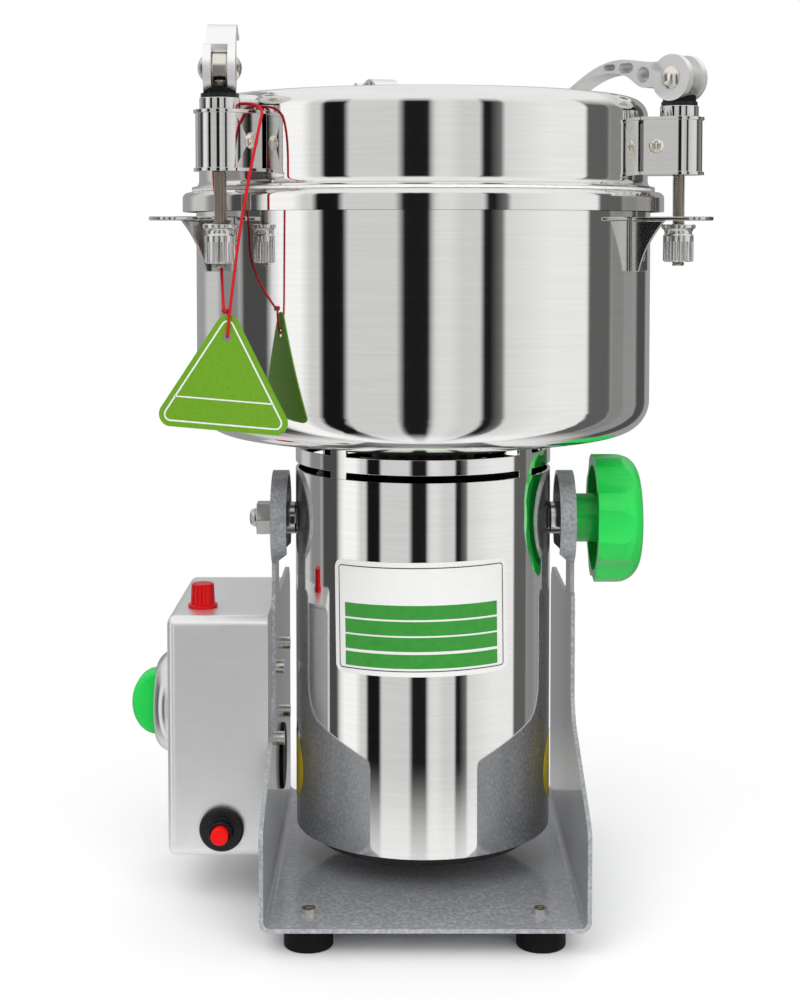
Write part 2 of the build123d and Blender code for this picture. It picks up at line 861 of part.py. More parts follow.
with BuildPart() as pivot_bolt:
    with BuildSketch(Plane.YZ.offset(-pivot_seat)):
        with Locations((0, pivot_z)):
            RegularPolygon(pivot_head_r, 6)
    extrude(amount=pivot_head_t)
    with BuildSketch(Plane.YZ.offset(-pivot_seat)):
        with Locations((0, pivot_z)):
            Circle(pivot_r)
    extrude(amount=pivot_seat - nut_face - pivot_nut_t - pivot_end)
    fillet(pivot_bolt.edges().filter_by(GeomType.CIRCLE).sort_by(Axis.X)[0], pivot_end * 0.75)
pivot_bolt.part.label = "pivot_bolt"
export_step(pivot_bolt.part, "parts/pivot_bolt.step")

with BuildPart() as pivot_nuts:
    with BuildSketch(Plane.YZ.offset(-nut_face)):
        with Locations((0, pivot_z)):
            RegularPolygon(pivot_nut_r, 6)
            Circle(pivot_r + running_gap, mode=Mode.SUBTRACT)
    extrude(amount=-pivot_nut_t)
    with BuildSketch(Plane.YZ.offset(pivot_seat)):
        with Locations((0, pivot_z)):
            RegularPolygon(pivot_head_r, 6)
            Circle(pivot_r + running_gap, mode=Mode.SUBTRACT)
    extrude(amount=-stud_nut_t)
pivot_nuts.part.label = "pivot_nuts"
export_step(pivot_nuts.part, "parts/pivot_nuts.step")

with BuildPart() as pivot_spacers:
    with BuildSketch(Plane.YZ.offset(shell_r)):
        with Locations((0, pivot_z)):
            Circle(pivot_spacer_r)
            Circle(pivot_r + fit_gap, mode=Mode.SUBTRACT)
    extrude(amount=ear_inner - moving_gap - shell_r)
    mirror(about=Plane.YZ)
pivot_spacers.part.label = "pivot_spacers"
export_step(pivot_spacers.part, "parts/pivot_spacers.step")

knob_back = nut_face + knob_hub_h - knob_hub_in
knob_front = knob_back + knob_skirt_h
stud_start = pivot_seat - stud_nut_t - overrun

with BuildPart() as knob:
    with BuildSketch(Plane.XY):
        with BuildLine():
            knob_rim = Polyline((knob_back, 0), (knob_back, knob_r), (knob_back + knob_rim_h, knob_r))
            knob_dome = JernArc(knob_rim @ 1, (1, 0), knob_skirt_h - knob_rim_h, -90)
            Polyline(knob_dome @ 1, (knob_front, 0), (knob_back, 0))
        make_face()
    revolve(axis=Axis.X)
    with BuildSketch(Plane.YZ.offset(knob_back)):
        with PolarLocations(knob_r + knob_scallop_r - knob_scallop_depth, knob_lobes):
            Circle(knob_scallop_r)
    extrude(amount=knob_skirt_h, mode=Mode.SUBTRACT)
    with BuildSketch(Plane.YZ.offset(knob_back)):
        Circle(knob_r - knob_scallop_depth - knob_wall)
    extrude(amount=knob_rim_h, mode=Mode.SUBTRACT)
    with BuildSketch(Plane.YZ.offset(nut_face)):
        Circle(knob_hub_r)
    extrude(amount=knob_back + knob_rim_h - nut_face)
    with BuildSketch(Plane.YZ.offset(stud_start)):
        Circle(pivot_r)
    extrude(amount=nut_face - stud_start)
    add(knob.part.moved(Location((0, 0, pivot_z))), mode=Mode.REPLACE)
knob.part.label = "clamp_knob"
export_step(knob.part, "parts/clamp_knob.step")


# Fixed inner parts of the motor
with BuildPart() as top_bell:
    with BuildSketch(Plane.XY.offset(bell_z)):
        Circle(bell_r)
    extrude(amount=bell_t)
    with BuildSketch(Plane.XY.offset(bell_z)):
        Circle(bell_hub_r)
    extrude(amount=-bell_hub_h)
    with BuildSketch(Plane.XY.offset(bell_z - bell_hub_h)):
        Circle(top_bearing_r + fit_gap)
    extrude(amount=bell_hub_h, mode=Mode.SUBTRACT)
    with BuildSketch(Plane.XY.offset(bell_z)):
        Circle(shaft_top_r + moving_gap)
        with PolarLocations(bowl_screw_orbit, 4, start_angle=45):
            Circle(bowl_screw_r + fit_gap)
    extrude(amount=bell_t, mode=Mode.SUBTRACT)
top_bell.part.label = "upper_end_bell"
export_step(top_bell.part, "parts/upper_end_bell.step")

low_bearing_z = low_bell_z + low_bell_hub_h - low_bearing_h

with BuildPart() as low_bell:
    with BuildSketch(Plane.XY.offset(low_bell_z)):
        Circle(stator_r)
    extrude(amount=low_bell_h)
    with BuildSketch(Plane.XY.offset(low_bell_z + low_bell_floor)):
        Circle(stator_r - low_bell_wall)
    extrude(amount=low_bell_h, mode=Mode.SUBTRACT)
    with BuildSketch(Plane.XY.offset(low_bell_z)):
        Circle(stator_r - low_bell_wall * 2)
        Circle(low_bell_hub_r + low_bell_wall, mode=Mode.SUBTRACT)
        with PolarLocations(stator_r / 2, low_bell_windows, start_angle=45):
            Rectangle(stator_r, low_bell_hub_r, mode=Mode.SUBTRACT)
    extrude(amount=low_bell_floor, mode=Mode.SUBTRACT)
    with BuildSketch(Plane.XY.offset(low_bell_z)):
        Circle(low_bell_hub_r)
    extrude(amount=low_bell_hub_h)
    with BuildSketch(Plane.XY.offset(low_bearing_z)):
        Circle(low_bearing_r + fit_gap)
    extrude(amount=low_bearing_h, mode=Mode.SUBTRACT)
    with BuildSketch(Plane.XY.offset(low_bell_z)):
        Circle(shaft_low_r + moving_gap)
    extrude(amount=low_bell_hub_h, mode=Mode.SUBTRACT)
    with BuildSketch(Plane.YZ):
        with Locations((0, brush_z)):
            Circle(holder_r + fit_gap)
    extrude(amount=stator_r + overrun, both=True, mode=Mode.SUBTRACT)
low_bell.part.label = "lower_end_bell"
export_step(low_bell.part, "parts/lower_end_bell.step")

with BuildPart() as bearings:
    with BuildSketch(Plane.XY.offset(bell_z)):
        Circle(top_bearing_r)
        Circle(shaft_top_r + running_gap, mode=Mode.SUBTRACT)
    extrude(amount=-top_bearing_h)
    with BuildSketch(Plane.XY.offset(low_bearing_z)):
        Circle(low_bearing_r)
        Circle(shaft_low_r + running_gap, mode=Mode.SUBTRACT)
    extrude(amount=low_bearing_h)
bearings.part.label = "motor_bearings"
export_step(bearings.part, "parts/motor_bearings.step")

pole_reach = stator_r * 2
pole_x = pole_reach * sin(radians(stator_pole_angle / 2))
pole_y = pole_reach * cos(radians(stator_pole_angle / 2))
window_r = stator_r - stator_yoke

with BuildPart() as stator:
    with BuildSketch(Plane.XY.offset(stator_z)):
        with BuildLine():
            Polyline((0, 0), (pole_x, pole_y), (-pole_x, pole_y), close=True)
        make_face()
        mirror(about=Plane.XZ)
        Circle(window_r, mode=Mode.INTERSECT)
        Circle(stator_bore_r, mode=Mode.SUBTRACT)
        with BuildSketch(mode=Mode.PRIVATE) as yoke:
            Circle(stator_r)
            Circle(window_r, mode=Mode.SUBTRACT)
        add(yoke.sketch)
    extrude(amount=stator_h)
stator.part.label = "stator_core"
export_step(stator.part, "parts/stator_core.step")

coil_r = window_r - fit_gap

with BuildPart() as coils:
    with BuildSketch(Plane.XY.offset(stator_z - coil_end_h)):
        Circle(coil_r)
        Circle(coil_r - coil_t, mode=Mode.SUBTRACT)
        Rectangle(pole_reach, coil_gap * 2, mode=Mode.SUBTRACT)
    extrude(amount=stator_h + coil_end_h * 2)
    with BuildSketch(Plane.XY.offset(stator_z - fit_gap)):
        with BuildLine():
            Polyline((0, -coil_gap), (pole_x, pole_y - coil_gap), (-pole_x, pole_y - coil_gap), close=True)
        make_face()
        mirror(about=Plane.XZ)
    extrude(amount=stator_h + fit_gap * 2, mode=Mode.SUBTRACT)
coils.part.label = "field_windings"
export_step(coils.part, "parts/field_windings.step")

holder_end = sqrt(shell_bore_r**2 - holder_r**2) - fit_gap

with BuildPart() as holders:
    with BuildSketch(Plane.YZ.offset(holder_start)):
        with Locations((0, brush_z)):
            Circle(holder_r)
            Rectangle(brush_t + fit_gap * 2, brush_w + fit_gap * 2, mode=Mode.SUBTRACT)
    extrude(amount=holder_end - holder_start)
    mirror(about=Plane.YZ)
holders.part.label = "brush_holders"
export_step(holders.part, "parts/brush_holders.step")

with BuildPart() as brushes:
    with BuildSketch(Plane.YZ.offset(commutator_r + brush_wear_gap)):
        with Locations((0, brush_z)):
            Rectangle(brush_t, brush_w)
    extrude(amount=brush_len)
    mirror(about=Plane.YZ)
brushes.part.label = "carbon_brushes"
export_step(brushes.part, "parts/carbon_brushes.step")


# Rotor
thread_top = blade_z + blade_stack + blade_nut_h + shaft_thread_out
journal_z = bell_z - bell_hub_h - fan_gap

with BuildPart() as shaft:
    with BuildSketch(Plane.XZ):
        with BuildLine():
            Polyline(
                (0, shaft_z),
                (shaft_low_r, shaft_z),
                (shaft_low_r, commutator_z),
                (shaft_r, commutator_z),
                (shaft_r, journal_z),
                (shaft_top_r, journal_z),
                (shaft_top_r, blade_z),
                (blade_bore_r, blade_z),
                (blade_bore_r, thread_top),
                (0, thread_top),
                close=True,
            )
        make_face()
    revolve(axis=Axis.Z)
shaft.part.label = "motor_shaft"
export_step(shaft.part, "parts/motor_shaft.step")

with BuildPart() as commutator:
    with BuildSketch(Plane.XY.offset(commutator_z)):
        Circle(commutator_r)
        Circle(shaft_r + fit_gap, mode=Mode.SUBTRACT)
    extrude(amount=commutator_h)
    with BuildSketch(Plane.XY.offset(commutator_z + commutator_h)):
        Circle(commutator_r + commutator_step)
        Circle(shaft_r + fit_gap, mode=Mode.SUBTRACT)
    extrude(amount=commutator_step)
commutator.part.label = "commutator"
export_step(commutator.part, "parts/commutator.step")

with BuildPart() as armature:
    with BuildSketch(Plane.XY.offset(stator_z)):
        Circle(armature_r)
        Circle(shaft_r + fit_gap, mode=Mode.SUBTRACT)
        with PolarLocations(armature_r - armature_slot_depth / 2, armature_slots):
            SlotCenterToCenter(armature_slot_depth, armature_slot_w, mode=Mode.SUBTRACT)
    extrude(amount=stator_h)
armature.part.label = "armature_core"
export_step(armature.part, "parts/armature_core.step")

with BuildPart() as windings:
    for winding_z in (stator_z - winding_end_h, stator_z + stator_h):
        with BuildSketch(Plane.XY.offset(winding_z)):
            Circle(winding_r)
            Circle(shaft_r + fit_gap, mode=Mode.SUBTRACT)
        extrude(amount=winding_end_h)
    fillet(windings.edges().filter_by(GeomType.CIRCLE).group_by(Axis.Z)[0][-1], winding_end_h / 3)
windings.part.label = "armature_windings"
export_step(windings.part, "parts/armature_windings.step")

fan_z = journal_z - fan_h

with BuildPart() as fan:
    with BuildSketch(Plane.XY.offset(fan_z)):
        Circle(fan_r)
    extrude(amount=fan_disc_t)
    with BuildSketch(Plane.XY.offset(fan_z)):
        with PolarLocations((fan_r + fan_hub_r) / 2, fan_blades):
            Rectangle(fan_r - fan_hub_r - fan_blade_t, fan_blade_t, rotation=25)
        Circle(fan_hub_r)
    extrude(amount=fan_h)
    with BuildSketch(Plane.XY.offset(fan_z)):
        Circle(shaft_r + fit_gap)
    extrude(amount=fan_h, mode=Mode.SUBTRACT)
fan.part.label = "cooling_fan"
export_step(fan.part, "parts/cooling_fan.step")


# Blades: bars with bent tips, drawn from the side and cut to their plan
def blade_profile(seat_z, rise):
    tip_in = blade_reach - blade_tip_len
    return [
        (-blade_reach, seat_z + rise),
        (-tip_in, seat_z),
        (tip_in, seat_z),
        (blade_reach, seat_z + rise),
        (blade_reach, seat_z + rise + blade_t),
        (tip_in, seat_z + blade_t),
        (-tip_in, seat_z + blade_t),
        (-blade_reach, seat_z + rise + blade_t),
    ]


blade_turns = {"lower_blade": 20.0, "upper_blade": 110.0}
blade_seats = {"lower_blade": blade_z, "upper_blade": blade_z + blade_t + blade_spacer_h}
blade_rises = {"lower_blade": -blade_tip_rise / 4, "upper_blade": blade_tip_rise}

for blade_name, blade_turn in blade_turns.items():
    with BuildPart() as blade:
        with BuildSketch(Plane.XZ):
            with BuildLine():
                Polyline(*blade_profile(blade_seats[blade_name], blade_rises[blade_name]), close=True)
            make_face()
        extrude(amount=blade_w, both=True)
        with BuildSketch(Plane.XY):
            with BuildLine():
                Polyline(
                    (-blade_reach, -blade_tip_w / 2),
                    (0, -blade_w / 2),
                    (blade_reach, -blade_tip_w / 2),
                    (blade_reach, blade_tip_w / 2),
                    (0, blade_w / 2),
                    (-blade_reach, blade_tip_w / 2),
                    close=True,
                )
            make_face()
            Circle(blade_hub_r)
            Circle(blade_bore_r + running_gap, mode=Mode.SUBTRACT)
        extrude(amount=thread_top, mode=Mode.INTERSECT)
        add(blade.part.rotate(Axis.Z, blade_turn), mode=Mode.REPLACE)
    blade.part.label = blade_name
    export_step(blade.part, f"parts/{blade_name}.step")

with BuildPart() as blade_spacer:
    with BuildSketch(Plane.XY.offset(blade_z + blade_t)):
        Circle(blade_spacer_r)
        Circle(blade_bore_r + running_gap, mode=Mode.SUBTRACT)
    extrude(amount=blade_spacer_h)
blade_spacer.part.label = "blade_spacer"
export_step(blade_spacer.part, "parts/blade_spacer.step")

with BuildPart() as blade_nut:
    with BuildSketch(Plane.XY.offset(blade_z + blade_stack)):
        RegularPolygon(blade_nut_r, 6)
        Circle(blade_bore_r + running_gap, mode=Mode.SUBTRACT)
    extrude(amount=blade_nut_h)
blade_nut.part.label = "blade_nut"
export_step(blade_nut.part, "parts/blade_nut.step")


# Bowl with a folded rim, its screws and the shaft's seal
bowl_bore_r = bowl_r - bowl_wall

with BuildPart() as bowl:
    with BuildSketch(Plane.XZ) as bowl_half:
        with BuildLine():
            Polyline(
                (0, bowl_z),
                (bowl_r, bowl_z),
                (bowl_r, rim_z - bowl_wall),
                (rim_r - bowl_wall, rim_z - bowl_wall),
                (rim_r - bowl_wall, rim_z - rim_h),
                (rim_r, rim_z - rim_h),
                (rim_r, rim_z),
                (bowl_bore_r, rim_z),
                (bowl_bore_r, floor_z),
                (0, floor_z),
                close=True,
            )
        make_face()
        fillet(bowl_half.vertices().sort_by_distance((bowl_r, bowl_z))[0], bowl_corner_r)
        fillet(bowl_half.vertices().sort_by_distance((bowl_bore_r, floor_z))[0], bowl_corner_r - bowl_wall)
        fillet(bowl_half.vertices().sort_by_distance((rim_r, rim_z))[0], rim_round)
        fillet(
            bowl_half.vertices().sort_by_distance((rim_r - bowl_wall, rim_z - bowl_wall))[0],
            rim_round - bowl_wall,
        )
    revolve(axis=Axis.Z)
    with BuildSketch(Plane.XY.offset(bowl_z)):
        Circle(shaft_top_r + moving_gap)
        with PolarLocations(bowl_screw_orbit, 4, start_angle=45):
            Circle(bowl_screw_r + fit_gap)
    extrude(amount=bowl_wall, mode=Mode.SUBTRACT)
bowl.part.label = "bowl"
export_step(bowl.part, "parts/bowl.step")

with BuildPart() as bowl_screws:
    with BuildSketch(Plane.XY.offset(floor_z)):
        with PolarLocations(bowl_screw_orbit, 4, start_angle=45):
            Circle(bowl_screw_head_r)
    extrude(amount=bowl_screw_head_h)
    with BuildSketch(Plane.XY.offset(floor_z)):
        with PolarLocations(bowl_screw_orbit, 4, start_angle=45):
            Circle(bowl_screw_r)
    extrude(amount=-bowl_wall - bowl_screw_grip)
bowl_screws.part.label = "bowl_screws"
export_step(bowl_screws.part, "parts/bowl_screws.step")

with BuildPart() as shaft_seal:
    with BuildSketch(Plane.XZ):
        with BuildLine():
            Polyline(
                (shaft_top_r + running_gap, floor_z),
                (seal_r, floor_z),
                (seal_top_r, floor_z + seal_h),
                (shaft_top_r + running_gap, floor_z + seal_h),
                close=True,
            )
        make_face()
    revolve(axis=Axis.Z)
shaft_seal.part.label = "shaft_seal"
export_step(shaft_seal.part, "parts/shaft_seal.step")


# A plane at a place round the motor's axis, with x outward and y along the turn
def round_plane(angle, orbit, z):
    out_x = cos(radians(angle))
    out_y = sin(radians(angle))
    return Plane(origin=(orbit * out_x, orbit * out_y, z), x_dir=(out_x, out_y, 0), z_dir=(0, 0, 1))


# Shelf brackets: a slotted tongue, a back plate on the bowl and one web
back_r = bowl_r + fit_gap
shelf_low = shelf_top - shelf_back_h

with BuildPart() as shelves:
    for latch_angle in latch_angles:
        with BuildSketch(round_plane(latch_angle - lock_step, 0, shelf_top)):
            with Locations((bowl_r + shelf_reach, 0)):
                RectangleRounded(
                    shelf_reach * 2, shelf_half_w * 2, shelf_end_r, align=(Align.MAX, Align.CENTER)
                )
            Circle(back_r, mode=Mode.SUBTRACT)
            with Locations((latch_orbit, 0)):
                Circle(shelf_slot_w / 2, mode=Mode.SUBTRACT)
                Rectangle(shelf_slot_w, shelf_half_w * 2, align=(Align.CENTER, Align.MIN), mode=Mode.SUBTRACT)
        extrude(amount=-shelf_t)
        with BuildSketch(round_plane(latch_angle - lock_step, 0, shelf_low)):
            Circle(back_r + shelf_plate_t)
            Circle(back_r, mode=Mode.SUBTRACT)
            with Locations((back_r, 0)):
                Rectangle(shelf_reach, shelf_half_w * 2, mode=Mode.INTERSECT)
        extrude(amount=shelf_back_h)
        web_plane = round_plane(latch_angle - lock_step, 0, shelf_top)
        with BuildSketch(
            Plane(
                web_plane.origin - web_plane.y_dir * (shelf_half_w - shelf_plate_t),
                x_dir=web_plane.x_dir,
                z_dir=-web_plane.y_dir,
            )
        ):
            with BuildLine():
                Polyline(
                    (back_r + shelf_plate_t / 2, -shelf_t),
                    (back_r + shelf_web_reach, -shelf_t),
                    (back_r + shelf_plate_t / 2, -shelf_back_h),
                    close=True,
                )
            make_face()
        extrude(amount=shelf_plate_t)
shelves.part.label = "latch_brackets"
export_step(shelves.part, "parts/latch_brackets.step")


# Lid with a flared lip, and the seal between lid and bowl
lid_bore_r = lid_r - lid_wall

with BuildPart() as lid:
    with BuildSketch(Plane.XZ) as lid_half:
        with BuildLine():
            Polyline(
                (lid_bore_r, lid_z),
                (lip_r, lid_z),
                (lip_r, lid_z + lip_t),
                (lid_r, lid_z + lip_rise),
                (lid_r, lid_top),
                (0, lid_top),
                (0, lid_top - lid_wall),
                (lid_bore_r, lid_top - lid_wall),
                close=True,
            )
        make_face()
        fillet(lid_half.vertices().sort_by_distance((lid_r, lid_top))[0], lid_shoulder_r)
        fillet(
            lid_half.vertices().sort_by_distance((lid_bore_r, lid_top - lid_wall))[0],
            lid_shoulder_r - lid_wall,
        )
    revolve(axis=Axis.Z)
lid.part.label = "lid_shell"
export_step(lid.part, "parts/lid_shell.step")

spigot_r = bowl_bore_r - moving_gap

with BuildPart() as lid_seal:
    with BuildSketch(Plane.XZ):
        with BuildLine():
            Polyline(
                (spigot_r - seal_ring_w, lid_z),
                (lip_r, lid_z),
                (lip_r, rim_z + moving_gap),
                (spigot_r, rim_z + moving_gap),
                (spigot_r, rim_z + moving_gap - seal_ring_drop),
                (spigot_r - seal_ring_w, rim_z + moving_gap - seal_ring_drop),
                close=True,
            )
        make_face()
    revolve(axis=Axis.Z)
lid_seal.part.label = "lid_seal"
export_step(lid_seal.part, "parts/lid_seal.step")


# Latch housings on the lid: a rounded block with a thin plate above and below
def housing_sketch(half_w, gap):
    Circle(half_w)
    Rectangle(latch_orbit - lid_r + half_w, half_w * 2, align=(Align.MAX, Align.CENTER))
    with Locations((-latch_orbit, 0)):
        Circle(lid_r + gap, mode=Mode.SUBTRACT)


screw_z = housing_z + housing_h / 2

with BuildPart() as housings:
    for latch_angle in latch_angles:
        with BuildSketch(round_plane(latch_angle, latch_orbit, housing_z)):
            housing_sketch(housing_r, housing_gap)
        extrude(amount=housing_h)
        for plate_z in (housing_z, housing_top - housing_sheet):
            with BuildSketch(round_plane(latch_angle, latch_orbit, plate_z)):
                housing_sketch(housing_r + housing_rim, fit_gap)
            extrude(amount=housing_sheet)
        with BuildSketch(round_plane(latch_angle, latch_orbit, housing_z)):
            Circle(rod_r + moving_gap)
        extrude(amount=housing_h, mode=Mode.SUBTRACT)
        cheek = round_plane(latch_angle, latch_orbit, screw_z)
        for side in (-1, 1):
            place = cheek.from_local_coords(Vector(-housing_screw_in, side * housing_r, 0))
            with BuildSketch(Plane(place, x_dir=cheek.x_dir, z_dir=cheek.y_dir * side)):
                Circle(housing_screw_r + fit_gap)
            extrude(amount=-housing_screw_len - fit_gap, mode=Mode.SUBTRACT)
housings.part.label = "latch_housings"
export_step(housings.part, "parts/latch_housings.step")

with BuildPart() as housing_screws:
    for latch_angle in latch_angles:
        cheek = round_plane(latch_angle, latch_orbit, screw_z)
        for side in (-1, 1):
            place = cheek.from_local_coords(Vector(-housing_screw_in, side * housing_r, 0))
            head_plane = Plane(place, x_dir=cheek.x_dir, z_dir=cheek.y_dir * side)
            with BuildSketch(head_plane):
                Circle(housing_screw_head_r)
            extrude(amount=housing_screw_head_h, taper=20)
            with BuildSketch(head_plane):
                Circle(housing_screw_r)
            extrude(amount=-housing_screw_len)
housing_screws.part.label = "housing_screws"
export_step(housing_screws.part, "parts/housing_screws.step")

with BuildPart() as neck_spacers:
    for latch_angle in latch_angles:
        with BuildSketch(round_plane(latch_angle, latch_orbit, housing_top)):
            Circle(neck_spacer_r)
            Circle(rod_r + moving_gap, mode=Mode.SUBTRACT)
        extrude(amount=neck_spacer_h)
neck_spacers.part.label = "neck_spacers"
export_step(neck_spacers.part, "parts/neck_spacers.step")

with BuildPart() as saddles:
    for latch_angle in latch_angles:
        with BuildSketch(round_plane(latch_angle, latch_orbit, saddle_z)):
            Circle(saddle_r)
            Circle(rod_r + moving_gap, mode=Mode.SUBTRACT)
        extrude(amount=saddle_floor)
saddles.part.label = "saddle_washers"
export_step(saddles.part, "parts/saddle_washers.step")


# Latches: a rod with an eye and a riveted pin, a cam lever on the pin, a knurled nut on the rod's foot
cam_face = cam_slot / 2 + cam_t

for latch_name, latch_angle, heading, latch_raise in zip(
    latch_names, latch_angles, latch_headings, latch_raises
):
    latch_foot = round_plane(latch_angle, latch_orbit, rod_z)
    eye = round_plane(latch_angle, latch_orbit, pin_z).origin
    across = Vector(sin(radians(heading)), -cos(radians(heading)), 0)
    along = Vector(
        cos(radians(heading)) * cos(radians(latch_raise)),
        sin(radians(heading)) * cos(radians(latch_raise)),
        sin(radians(latch_raise)),
    )
    lever_plane = Plane(eye, x_dir=along, z_dir=across)

    with BuildPart() as rod:
        with BuildSketch(latch_foot):
            Circle(rod_r)
        extrude(amount=pin_z - rod_z)
        with BuildSketch(lever_plane):
            Circle(rod_eye_r)
        extrude(amount=rod_eye_w / 2, both=True)
        with BuildSketch(lever_plane):
            Circle(lever_pin_r)
        extrude(amount=cam_face + moving_gap, both=True)
        for side in (-1, 1):
            head_at = eye + across * side * (cam_face + moving_gap)
            with BuildSketch(Plane(head_at, x_dir=along, z_dir=across * side)):
                Circle(pin_head_r)
            extrude(amount=pin_head_h, taper=pin_head_taper)
    rod.part.label = f"latch_rod_{latch_name}"
    export_step(rod.part, f"parts/latch_rod_{latch_name}.step")

    with BuildPart() as lever:
        with BuildSketch(lever_plane):
            Circle(cam_r)
        extrude(amount=cam_face, both=True)
        with BuildSketch(lever_plane):
            with BuildLine():
                top_line = Spline(*lever_top)
                low_line = Spline(*lever_low)
                Polyline(top_line @ 1, low_line @ 0)
                Polyline(low_line @ 1, (0, 0), top_line @ 0)
            make_face()
            with Locations(lever_hole_at):
                Circle(lever_hole_r, mode=Mode.SUBTRACT)
            with Locations(lever_slot_at):
                SlotCenterToCenter(lever_slot_len, lever_slot_r * 2, mode=Mode.SUBTRACT)
            with Locations(lever_end_slot_at):
                SlotCenterToCenter(lever_end_slot_len, lever_end_slot_r * 2, mode=Mode.SUBTRACT)
        extrude(amount=lever_w / 2, both=True)
        with BuildSketch(lever_plane):
            Circle(cam_slot_r)
            with Locations((cam_slot_open, 0)):
                Rectangle(cam_r * 2, cam_r * 3, align=(Align.MAX, Align.CENTER))
        extrude(amount=cam_slot / 2, both=True, mode=Mode.SUBTRACT)
        with BuildSketch(lever_plane):
            Circle(lever_pin_r + running_gap)
        extrude(amount=cam_face, both=True, mode=Mode.SUBTRACT)
    lever.part.label = f"cam_lever_{latch_name}"
    export_step(lever.part, f"parts/cam_lever_{latch_name}.step")

    with BuildPart() as nut:
        with BuildSketch(Plane.XZ):
            with BuildLine():
                Polyline(
                    (rod_r + running_gap, nut_z),
                    (nut_r, nut_z),
                    (nut_r, nut_plain_z),
                    (nut_r - nut_flute_r, nut_plain_z),
                    (nut_r - nut_flute_r, nut_plain_z + nut_plain_h),
                    (nut_flange_r, nut_top - nut_flange_h),
                    (nut_flange_r, nut_top),
                    (rod_r + running_gap, nut_top),
                    close=True,
                )
            make_face()
        revolve(axis=Axis.Z)
        with BuildSketch(Plane.XY.offset(nut_z)):
            with PolarLocations(nut_r, nut_flutes):
                Circle(nut_flute_r)
        extrude(amount=nut_plain_z - nut_z, mode=Mode.SUBTRACT)
        add(nut.part.moved(Location((latch_foot.origin.X, latch_foot.origin.Y, 0))), mode=Mode.REPLACE)
    nut.part.label = f"knurled_nut_{latch_name}"
    export_step(nut.part, f"parts/knurled_nut_{latch_name}.step")


# Hang tag: a rounded triangle, its hole near the top corner
tag_plane = Plane(
    origin=(tag_x, tag_y, tag_hole_z),
    x_dir=(
        cos(radians(tag_turn)) * cos(radians(tag_yaw)),
        -cos(radians(tag_turn)) * sin(radians(tag_yaw)),
        -sin(radians(tag_turn)),
    ),
    z_dir=(-sin(radians(tag_yaw)), -cos(radians(tag_yaw)), 0),
)

with BuildPart() as tag:
    with BuildSketch(tag_plane) as tag_face:
        with BuildLine():
            Polyline(
                (0, tag_hole_drop),
                (tag_w / 2, tag_hole_drop - tag_h),
                (-tag_w / 2, tag_hole_drop - tag_h),
                close=True,
            )
        make_face()
        fillet(tag_face.vertices(), tag_corner_r)
        Circle(tag_hole_r, mode=Mode.SUBTRACT)
    extrude(amount=tag_t / 2, both=True)
tag.part.label = "hang_tag"
export_step(tag.part, "parts/hang_tag.step")


# String: up from the tag's hole, over the left housing behind its neck and down behind the tag
neck = round_plane(latch_angles[0], latch_orbit, string_neck_z)


def neck_point(out, turn):
    point = neck.from_local_coords(Vector(out, turn, 0))
    return (point.X, point.Y, point.Z)


string_route = [
    *string_front,
    neck_point(*string_over_front),
    neck_point(*string_over_back),
    *string_back,
]
string_radii = []
for before, corner, after in zip(string_route, string_route[1:], string_route[2:]):
    run_in = Vector(corner) - Vector(before)
    run_out = Vector(after) - Vector(corner)
    half_turn = radians(run_in.get_angle(run_out)) / 2
    string_radii.append(bend_share * min(run_in.length, run_out.length) / tan(half_turn))
print("string bend radii", [round(radius, 2) for radius in string_radii])

with BuildPart() as string:
    with BuildLine() as string_line:
        FilletPolyline(*string_route, radius=string_radii)
    with BuildSketch(Plane(string_line.line @ 0, z_dir=string_line.line % 0)):
        Circle(string_r)
    sweep()
string_len = sum(edge.length for edge in string_line.edges())
print("string length", string_len, "volume over section", string.part.volume / (pi * string_r**2))
string.part.label = "tag_string"
export_step(string.part, "parts/tag_string.step")
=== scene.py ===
import json
import math
import bmesh
import bpy
from mathutils import Matrix, Vector


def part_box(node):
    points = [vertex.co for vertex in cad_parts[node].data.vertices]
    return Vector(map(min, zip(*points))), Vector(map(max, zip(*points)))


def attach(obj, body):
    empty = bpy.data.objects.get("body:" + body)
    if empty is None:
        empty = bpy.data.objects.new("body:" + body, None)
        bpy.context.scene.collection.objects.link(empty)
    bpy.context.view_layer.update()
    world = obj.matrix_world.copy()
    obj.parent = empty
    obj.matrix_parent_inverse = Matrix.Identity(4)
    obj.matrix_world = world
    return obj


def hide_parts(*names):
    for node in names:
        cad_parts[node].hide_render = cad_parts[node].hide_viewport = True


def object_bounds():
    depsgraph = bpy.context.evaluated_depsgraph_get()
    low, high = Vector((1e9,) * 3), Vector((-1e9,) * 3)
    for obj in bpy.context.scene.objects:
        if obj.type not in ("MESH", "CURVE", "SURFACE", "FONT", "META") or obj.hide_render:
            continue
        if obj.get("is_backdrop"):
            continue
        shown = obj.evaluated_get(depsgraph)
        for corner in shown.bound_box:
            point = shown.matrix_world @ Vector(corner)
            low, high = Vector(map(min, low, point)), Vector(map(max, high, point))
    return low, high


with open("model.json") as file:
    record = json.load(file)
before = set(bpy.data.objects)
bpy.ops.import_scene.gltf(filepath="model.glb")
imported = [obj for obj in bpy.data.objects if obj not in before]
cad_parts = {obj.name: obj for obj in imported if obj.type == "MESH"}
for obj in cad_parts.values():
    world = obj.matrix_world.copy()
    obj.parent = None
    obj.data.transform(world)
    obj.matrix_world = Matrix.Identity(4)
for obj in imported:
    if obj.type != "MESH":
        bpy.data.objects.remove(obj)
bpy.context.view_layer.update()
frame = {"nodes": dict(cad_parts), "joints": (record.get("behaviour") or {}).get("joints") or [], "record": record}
nodes = frame["nodes"]
joints = {j["name"]: j for j in frame["joints"]}
scene = bpy.context.scene
mm = 0.001
TURN = 2 * math.pi

